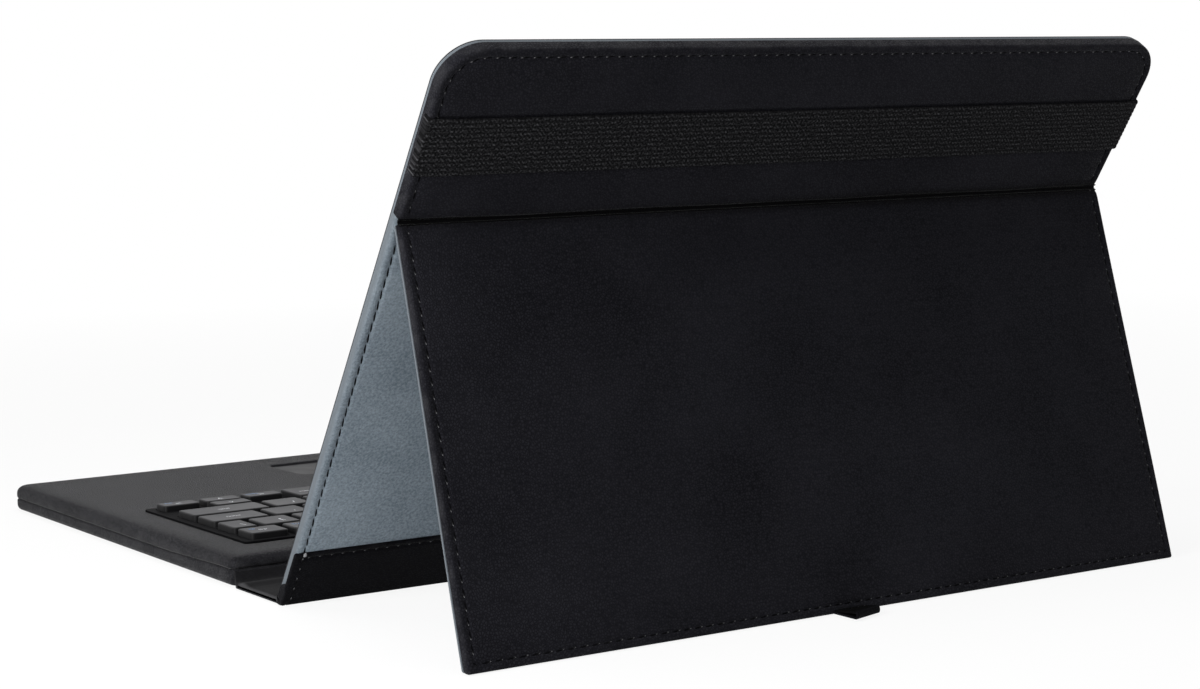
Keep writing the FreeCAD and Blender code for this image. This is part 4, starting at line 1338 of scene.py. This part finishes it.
path = [
    (strap_half - LEG_LENGTH + (LEG_LENGTH - STRAP_TURN) * k / 4, leg_height - 0.4) for k in range(5)
]
path += quarter_turn(leg_height + 0.5, -math.pi / 2, 6)
path += quarter_turn(strap_high - STRAP_TURN, 0.0, 7)
path += [(flat_half - 2 * flat_half * k / 90, strap_high) for k in range(1, 46)]
path = [pinched(x, z) for x, z in path]
path += [(-x, z) for x, z in reversed(path[:-1])]
pairs = zip(path[:1] + path, path[1:] + path[-1:])
ways = [Vector((b[1] - a[1], a[0] - b[0])).normalized() for a, b in pairs if a != b]
normals = [(ways[max(k - 1, 0)] + ways[min(k, len(ways) - 1)]).normalized() for k in range(len(path))]
rows = list(webbing_rows(strap_rect[3] - strap_rect[2]))
spots, crests = [], []
for place, lift, crest in rows:
    for (x, z), normal in zip(path, normals):
        sway = 0.12 * waves(x, place, 30, 16, 51.0)
        spots.append((x + normal.x * lift, strap_rect[2] + place + sway, z + normal.y * lift))
        crests.append(crest)
strap = build("closing_strap_webbing", spots, grid_faces(len(rows), len(path)), cover_back, crests)
turn_outward(strap, cover_back)
thicken(strap, STRAP_WALL)
dress(strap, black_elastic, "elastic", "tablet_panel", "closure_strap")

# %% [markdown]
# The flap is the large black face in the middle of the picture: leather over a board,
# lined with suede, hung from the crease and standing on the table. Its own sheet is
# sewn round three sides. At the crease the leather runs through to the top cover, and
# a narrow strip there bends with the fold.

# %% Stand flap
FLAP_SEAM, FLAP_CORNER, FOOT_BEVEL, FLAP_FIT, FLAP_FLARE = 2.7, 0.9, 0.26, 1.004, 0.0085
flap_rect, flap_low, flap_high = sheet_of("flap_leather", flap_back)
flap_radii = (FLAP_CORNER, FLAP_CORNER, 0.4, 0.4)
SEWN_BELOW = ("left", "right", "foot")
plain_flap = sewn(
    flap_rect, flap_radii, SEWN_BELOW, FLAP_SEAM, groove=0.32, welt=0.1, wave=0.22, seed=61.0, reach=60.0,
)


def flap_relief(x, y):
    return plain_flap(x, y) + fold_wrinkles(x, y, flap_rect[3] - y, FLAP_SINK)


def widen(x, below):
    return x * (FLAP_FIT + FLAP_FLARE * smooth(below / (flap_rect[3] - flap_rect[2])))


def three_sides(rect):
    return seam_line(rect, (0, 0, 0, 0), FLAP_SEAM, lambda x, y: y < rect[3] - 1.5, past_head=20.0)


def stand_flat(x, y, z):
    # The foot's edge is cut level with the table, and the sheet is a little wider there.
    below = flap_rect[3] - y
    foot = smooth((flap_rect[2] + 14.0 - y) / 10.0)
    drop = FOOT_BEVEL * (z - flap_low + 1.0) * foot
    return widen(x, below), y - drop + crease_wander(x) * math.exp(-abs(below) / 3), z


flap = skin(
    "stand_flap_leather", flap_back, flap_rect, flap_radii,
    rolled(flap_low + 0.3, flap_high, EDGE_ROLL, FLAP_SEAM, last=7.8), flap_relief,
    step=(3.0, 1.2), bend=stand_flat,
    fold=lambda x, y: painted_crease_shade(x, flap_rect[3] - y),
)
thicken(flap, LEATHER)
dress(flap, black_leather, "black_leather", "stand_flap", "flap_leather")
sew(
    "flap_stitches", flap_back, [three_sides(flap_rect)], lambda x, y: flap_high + flap_relief(x, y),
    "stand_flap", bend=stand_flat, seed=19,
)
inner_rect, inner_low, inner_high = sheet_of("flap_suede", flap_inside)
inner_relief = sewn(
    inner_rect, flap_radii, SEWN_BELOW, FLAP_SEAM, groove=0.25, welt=0.04, wave=0.1, seed=67.0,
)
flap_lining = skin(
    "stand_flap_suede", flap_inside, inner_rect, flap_radii,
    rolled(inner_low - 0.3, inner_high, 0.4, FLAP_SEAM, last=7.8, turns=3), inner_relief,
    bend=lambda x, y, z: (widen(x, inner_rect[3] - y) * 1.002, y, z),
)
thicken(flap_lining, 0.5)
dress(flap_lining, grey_suede, "grey_suede", "stand_flap", "flap_suede")
sew(
    "flap_inside_stitches", flap_inside, [three_sides(inner_rect)],
    lambda x, y: inner_high + inner_relief(x, y), "stand_flap", dull_thread, seed=21,
)

# %% [markdown]
# Between the cover and the flap the leather runs through without a board, and that
# bare line is the hinge. It is a shallow gutter, drawn as a section from the cover's
# edge to the flap's, each point turned part of the way with the flap, and swept along
# the crease.

# %% The crease between the top cover and the flap
CREASE_HALF, CREASE_ABOVE, CREASE_BELOW, CREASE_SPAN = 134.3, 0.35, -1.05, 1.4
crease_axis = pivot("stand_fold")
crease_section = (
    (CREASE_ABOVE, 0.0), (0.2, -0.22), (-0.05, -0.42), (-0.35, -0.5), (-0.65, -0.42), (-0.9, -0.22),
    (CREASE_BELOW, 0.0),
)
crease_points = []
for y, z in crease_section:
    share = smooth((CREASE_ABOVE - y) / CREASE_SPAN)
    lean = panel_angle + share * flap_swing
    spot = plane(crease_axis, lean, REVERSE) @ Vector((0, y, z)) / MM
    crease_points.append((spot.y, spot.z))
crease = sweep("crease_leather", crease_points, CREASE_HALF, 3.0)
thicken(crease, 0.4)
# The whole gutter is marked for painted shade, so it is coloured near black.
for mark in crease.data.attributes["fold"].data:
    mark.value = 1.0
crease_start = tuple(cover_back @ Vector((0, CREASE_ABOVE, 0)))
crease_end = tuple(flap_back @ Vector((0, CREASE_BELOW, 0)))
dress(crease, black_leather, "black_leather", ("tablet_panel", "stand_flap", crease_start, crease_end))

# %% [markdown]
# At the flap's foot a small pull tab lies back on the table. It is a strip of leather
# folded double, so its end is a soft round loop and not a cut edge. The loop is drawn
# as a section and carried across the tab's width. The tab has been pulled askew, so
# one side is shorter. A short row of stitches holds the two layers at the root.

# %% Pull tab
TAB_WALL, TAB_END_RADIUS, TAB_ROOT_TOP, TAB_SKEW = 0.65, 1.15, 0.8, 0.16
tab_plane = plane(pivot("tab_fold"), 0, FACE)
tab_box, tab_low, _ = sheet_of("pull_tab", tab_plane)
tab_half = tab_box[1]
tab_end = tab_box[3] - 0.4
loop_middle = (tab_end - TAB_END_RADIUS, tab_low + TAB_END_RADIUS)
tab_section = [(0.1 + (loop_middle[0] - 0.1) * k / 8, tab_low) for k in range(9)]
for k in range(1, 10):
    angle = math.pi * k / 10 - math.pi / 2
    reach, rise = TAB_END_RADIUS * math.cos(angle), TAB_END_RADIUS * math.sin(angle)
    tab_section.append((loop_middle[0] + reach, loop_middle[1] + rise))
loop_points = len(tab_section)


def tab_top(y):
    return TAB_ROOT_TOP + (tab_low + 2 * TAB_END_RADIUS - TAB_ROOT_TOP) * (y - 0.3) / (loop_middle[0] - 0.3)


for k in range(11):
    y = loop_middle[0] + (0.3 - loop_middle[0]) * k / 10
    tab_section.append((y, tab_top(y)))


def askew(x, y, z):
    return x, y * (1 - TAB_SKEW + TAB_SKEW * x / tab_half), z


columns = even_shares(2 * tab_half, 0.8)
spots = [(tab_half * (2 * s - 1), y, z) for s in columns for y, z in tab_section]
faces = [(b, c, d, a) for a, b, c, d in grid_faces(len(columns), len(tab_section))]
# The tab's upper layer is marked for a near-black painted shade.
painted_shade_on_upper_layer = [1.0 if k > loop_points else 0.0 for k in range(len(tab_section))] * len(columns)
tab = build("pull_tab_leather", spots, faces, tab_plane, bend=askew, folds=painted_shade_on_upper_layer)
add_wall(tab, TAB_WALL)
soft = tab.modifiers.new("Soft edge", "BEVEL")
soft.width = 0.3 * MM
soft.segments = 3
soft.limit_method = "ANGLE"
soft.angle_limit = math.radians(60)
settle(tab)
dress(tab, tab_leather, "black_leather", "pull_tab", "pull_tab")
tab_seam = [(tab_half - 1.5 - k * 0.5, 3.2) for k in range(int(4 * tab_half - 5))]
sew(
    "pull_tab_stitches", tab_plane, [tab_seam], lambda x, y: tab_top(y), "pull_tab",
    bend=askew, pitch=2.1, stitch=(1.5, 0.45, 0.35), seed=27,
)

# %% [markdown]
# The keys are low satin caps with rounded shoulders and a shallow dish. The frame has
# each key's place; a row that moves as one has several caps side by side, a known
# gap apart. Each cap is the same set of rings as the sheets, so one function makes
# all of them, and every node becomes one mesh.

# %% Keys
KEY_GAP, KEY_FLANGE, KEY_CORNER, KEY_DISH, KEY_SHOULDER = 2.6, 0.4, 1.3, 0.16, 0.55
row_counts = {"lower_letter_keys": 10, "home_letter_keys": 11, "upper_letter_keys": 12, "number_keys": 12}
key_nodes = sorted(n for n in frame["nodes"] if n.endswith(("_key", "_keys")) or n == "space_bar")


def cap_rects(node):
    box, bottom, top = sheet_of(node, on_base)
    left, right, front, back = shrunk(box, KEY_FLANGE)
    count = row_counts.get(node, 1)
    pitch = (right - left + KEY_GAP) / count
    rects = [(left + k * pitch, left + (k + 1) * pitch - KEY_GAP, front, back) for k in range(count)]
    return rects, bottom, top


def dish_at(rect, x, y):
    u = 2 * (x - rect[0]) / (rect[1] - rect[0]) - 1
    v = 2 * (y - rect[2]) / (rect[3] - rect[2]) - 1
    return -KEY_DISH * max(0.0, 1 - u * u) * max(0.0, 1 - v * v)


def cap(name, rect, bottom, top):
    profile = [(KEY_CORNER + 0.4, bottom), (0.0, bottom)]
    profile += rolled(bottom + 1.5, top, KEY_SHOULDER, last=KEY_CORNER + 0.3, turns=4)
    return skin(
        name, on_base, rect, [KEY_CORNER] * 4, profile,
        lambda x, y: dish_at(rect, x, y), step=(1.7, 1.7), arc=4,
    )


for node in key_nodes:
    rects, bottom, top = cap_rects(node)
    keys = join(*[cap(node + "_cap", rect, bottom, top) for rect in rects])
    keys.name = node + "_caps"
    keys.data.set_sharp_from_angle(angle=math.radians(50))
    dress(keys, key_plastic, "key_plastic", node, node)

# %% [markdown]
# The legends are printed, so they have almost no height: text turned into flat mesh
# and laid on the dish of its key. Letters stand in the upper left corner in white,
# second functions in blue below, as on most small keyboards. All the words of one
# key or row and one ink are joined, so that they move as one with their key.

# %% Key legends
LETTER_SIZE, WORD_SIZE, SMALL_SIZE, INK_LIFT = 4.6, 3.0, 2.3, 0.03
legends = {
    "number_keys": list("1234567890-="), "upper_letter_keys": list("QWERTYUIOP[]"),
    "home_letter_keys": list("ASDFGHJKL;'"), "lower_letter_keys": list("ZXCVBNM,./"),
    "backslash_key": ["\\"], "escape_key": ["esc"], "delete_key": ["del"], "tab_key": ["tab"],
    "caps_key": ["caps"], "enter_key": ["enter"], "left_shift_key": ["shift"], "right_shift_key": ["shift"],
    "control_key": ["ctrl"], "function_key": ["fn"], "symbol_key": ["sym"], "left_alt_key": ["alt"],
    "right_alt_key": ["alt"], "menu_key": ["menu"], "left_arrow_key": ["<"], "right_arrow_key": [">"],
    "up_arrow_key": ["^"], "down_arrow_key": ["v"],
}
second_legends = {
    "number_keys": ["F%d" % k for k in range(1, 13)], "delete_key": ["ins"], "escape_key": ["home"],
    "left_arrow_key": ["home"], "right_arrow_key": ["end"],
}


def print_words(name, words, size, corner, ink, node):
    # corner is the place of the words on the cap: shares of its width and depth.
    rects, _, top = cap_rects(node)
    printed = bmesh.new()
    for word, rect in zip(words, rects):
        text = bpy.data.curves.new(name, "FONT")
        text.body = word
        text.size = size * (1.0 if len(word) < 3 else 0.92)
        text.align_x, text.align_y = "CENTER", "CENTER"
        text.resolution_u = 2
        holder = put_in_scene(name, text)
        graph = bpy.context.evaluated_depsgraph_get()
        flat = bpy.data.meshes.new_from_object(holder.evaluated_get(graph))
        middle_x = rect[0] + corner[0] * (rect[1] - rect[0])
        middle_y = rect[2] + corner[1] * (rect[3] - rect[2])
        for vert in flat.vertices:
            x, y = vert.co.x + middle_x, vert.co.y + middle_y
            vert.co = Vector((x, y, top + dish_at(rect, x, y) + INK_LIFT)) * MM
        printed.from_mesh(flat)
        bpy.data.objects.remove(holder)
    bmesh.ops.recalc_face_normals(printed, faces=printed.faces)
    if sum(f.normal.z for f in printed.faces) < 0:
        bmesh.ops.reverse_faces(printed, faces=printed.faces)
    mesh = bpy.data.meshes.new(name)
    printed.to_mesh(mesh)
    printed.free()
    return dress(put_in_scene(name, mesh), ink, "key_plastic", node)


for node, words in legends.items():
    letters = len(words[0]) == 1
    place = (0.34, 0.6) if letters and "arrow" not in node else (0.5, 0.5)
    print_words(node + "_legend", words, LETTER_SIZE if letters else WORD_SIZE, place, white_ink, node)
for node, words in second_legends.items():
    print_words(node + "_second_legend", words, SMALL_SIZE, (0.72, 0.3), blue_ink, node)

# %% [markdown]
# What the frame already shapes well stays: the key plate, the touchpad, the socket,
# the switch and everything inside. The frame knows the slot of each, so the table
# here only says which finish shows it.

# %% Finishes for the CAD nodes that stay
finishes = {
    "key_plate": plate_plastic, "touchpad": touch_plastic, "housing_floor": housing_plastic,
    "housing_lid": housing_plastic, "switch_body": housing_plastic, "power_switch": housing_plastic,
    "base_board": pressed_board, "spine_board": pressed_board, "panel_board": pressed_board,
    "top_cover_board": pressed_board, "flap_board": pressed_board, "support_plate": steel,
    "membrane": film, "dome_sheet": rubber, "controller_board": circuit, "touchpad_board": circuit,
    "battery": foil, "charging_port": steel, "housing_screws": steel,
}
for node, finish in finishes.items():
    mesh = frame["nodes"][node].data
    mesh.materials.clear()
    mesh.materials.append(finish)
shown = [n for n, o in frame["nodes"].items() if not o.hide_render]
print("nodes that stay:", len(shown), "without a finish:", sorted(set(shown) - set(finishes)))

# %% [markdown]
# The picture was taken on white. A floor that is really lit to white would also
# flood the case with light, so the floor and the world are white only to the rays
# that come straight from the camera or off a gloss, and light the case at a plain
# level. A small soft lamp stands to the left, where the pale edges look, and a larger
# and stronger one hangs overhead.

# %% Floor, world and lamps
scene = bpy.context.scene
scene.view_settings.view_transform = "Standard"
FLOOR_HALF, FLOOR_LEVEL = 4, -0.0003
floor_mesh = bpy.data.meshes.new("floor")
quarters = ((-1, -1), (1, -1), (1, 1), (-1, 1))
floor_corners = [(x * FLOOR_HALF, y * FLOOR_HALF, FLOOR_LEVEL) for x, y in quarters]
floor_mesh.from_pydata(floor_corners, [], [(0, 1, 2, 3)])
floor = put_in_scene("floor", floor_mesh)


def seen_directly(tree):
    rays = add(tree, "ShaderNodeLightPath").outputs
    seen = math_node(tree, "MAXIMUM", rays["Is Camera Ray"], rays["Is Glossy Ray"])
    return math_node(tree, "MAXIMUM", seen, rays["Is Transmission Ray"])


FLOOR_GLOW, SHADOW_NEAR, SHADOW_FAR = 0.88, 0.35, 1.1
material, tree, shader, place = open_material("pale_floor")
set_values(shader, {"Base Color": (0.9, 0.9, 0.9, 1.0), "Roughness": 0.9, "Specular IOR Level": 0.0})
glow = add(tree, "ShaderNodeEmission", {"Color": (1.0, 1.0, 1.0, 1.0), "Strength": 1.0})
far_off = add(tree, "ShaderNodeVectorMath", {0: place["Object"]}, operation="LENGTH").outputs["Value"]
glowing = spread(tree, far_off, SHADOW_NEAR, SHADOW_FAR, FLOOR_GLOW, 1.0)
share = math_node(tree, "MULTIPLY", seen_directly(tree), glowing)
both = add(tree, "ShaderNodeMixShader", {0: share, 1: shader.outputs[0], 2: glow.outputs[0]})
tree.links.new(both.outputs[0], tree.nodes["Material Output"].inputs["Surface"])
floor_mesh.materials.append(material)

WORLD_LIGHT = 0.25
world = bpy.data.worlds.new("studio")
scene.world = world
world.use_nodes = True
tree = world.node_tree
background = tree.nodes["Background"]
background.inputs["Color"].default_value = (1.0, 1.0, 1.0, 1.0)
tree.links.new(spread(tree, seen_directly(tree), 0.0, 1.0, WORLD_LIGHT, 1.0), background.inputs["Strength"])


def soft_lamp(name, place, aim, width, watts):
    data = bpy.data.lights.new(name, "AREA")
    data.shape, data.size, data.energy = "DISK", width, watts
    lamp = put_in_scene(name, data)
    lamp.location = place
    lamp.rotation_euler = (Vector(aim) - Vector(place)).to_track_quat("-Z", "Y").to_euler()
    lamp.visible_camera = False


soft_lamp("left_softbox", (0.68, 0.39, 0.32), CASE_MIDDLE, 0.45, 5.8)
soft_lamp("overhead_softbox", (0.1, 0.1, 1.7), (0, 0.05, 0.05), 1.4, 15.0)
print("stage ready")
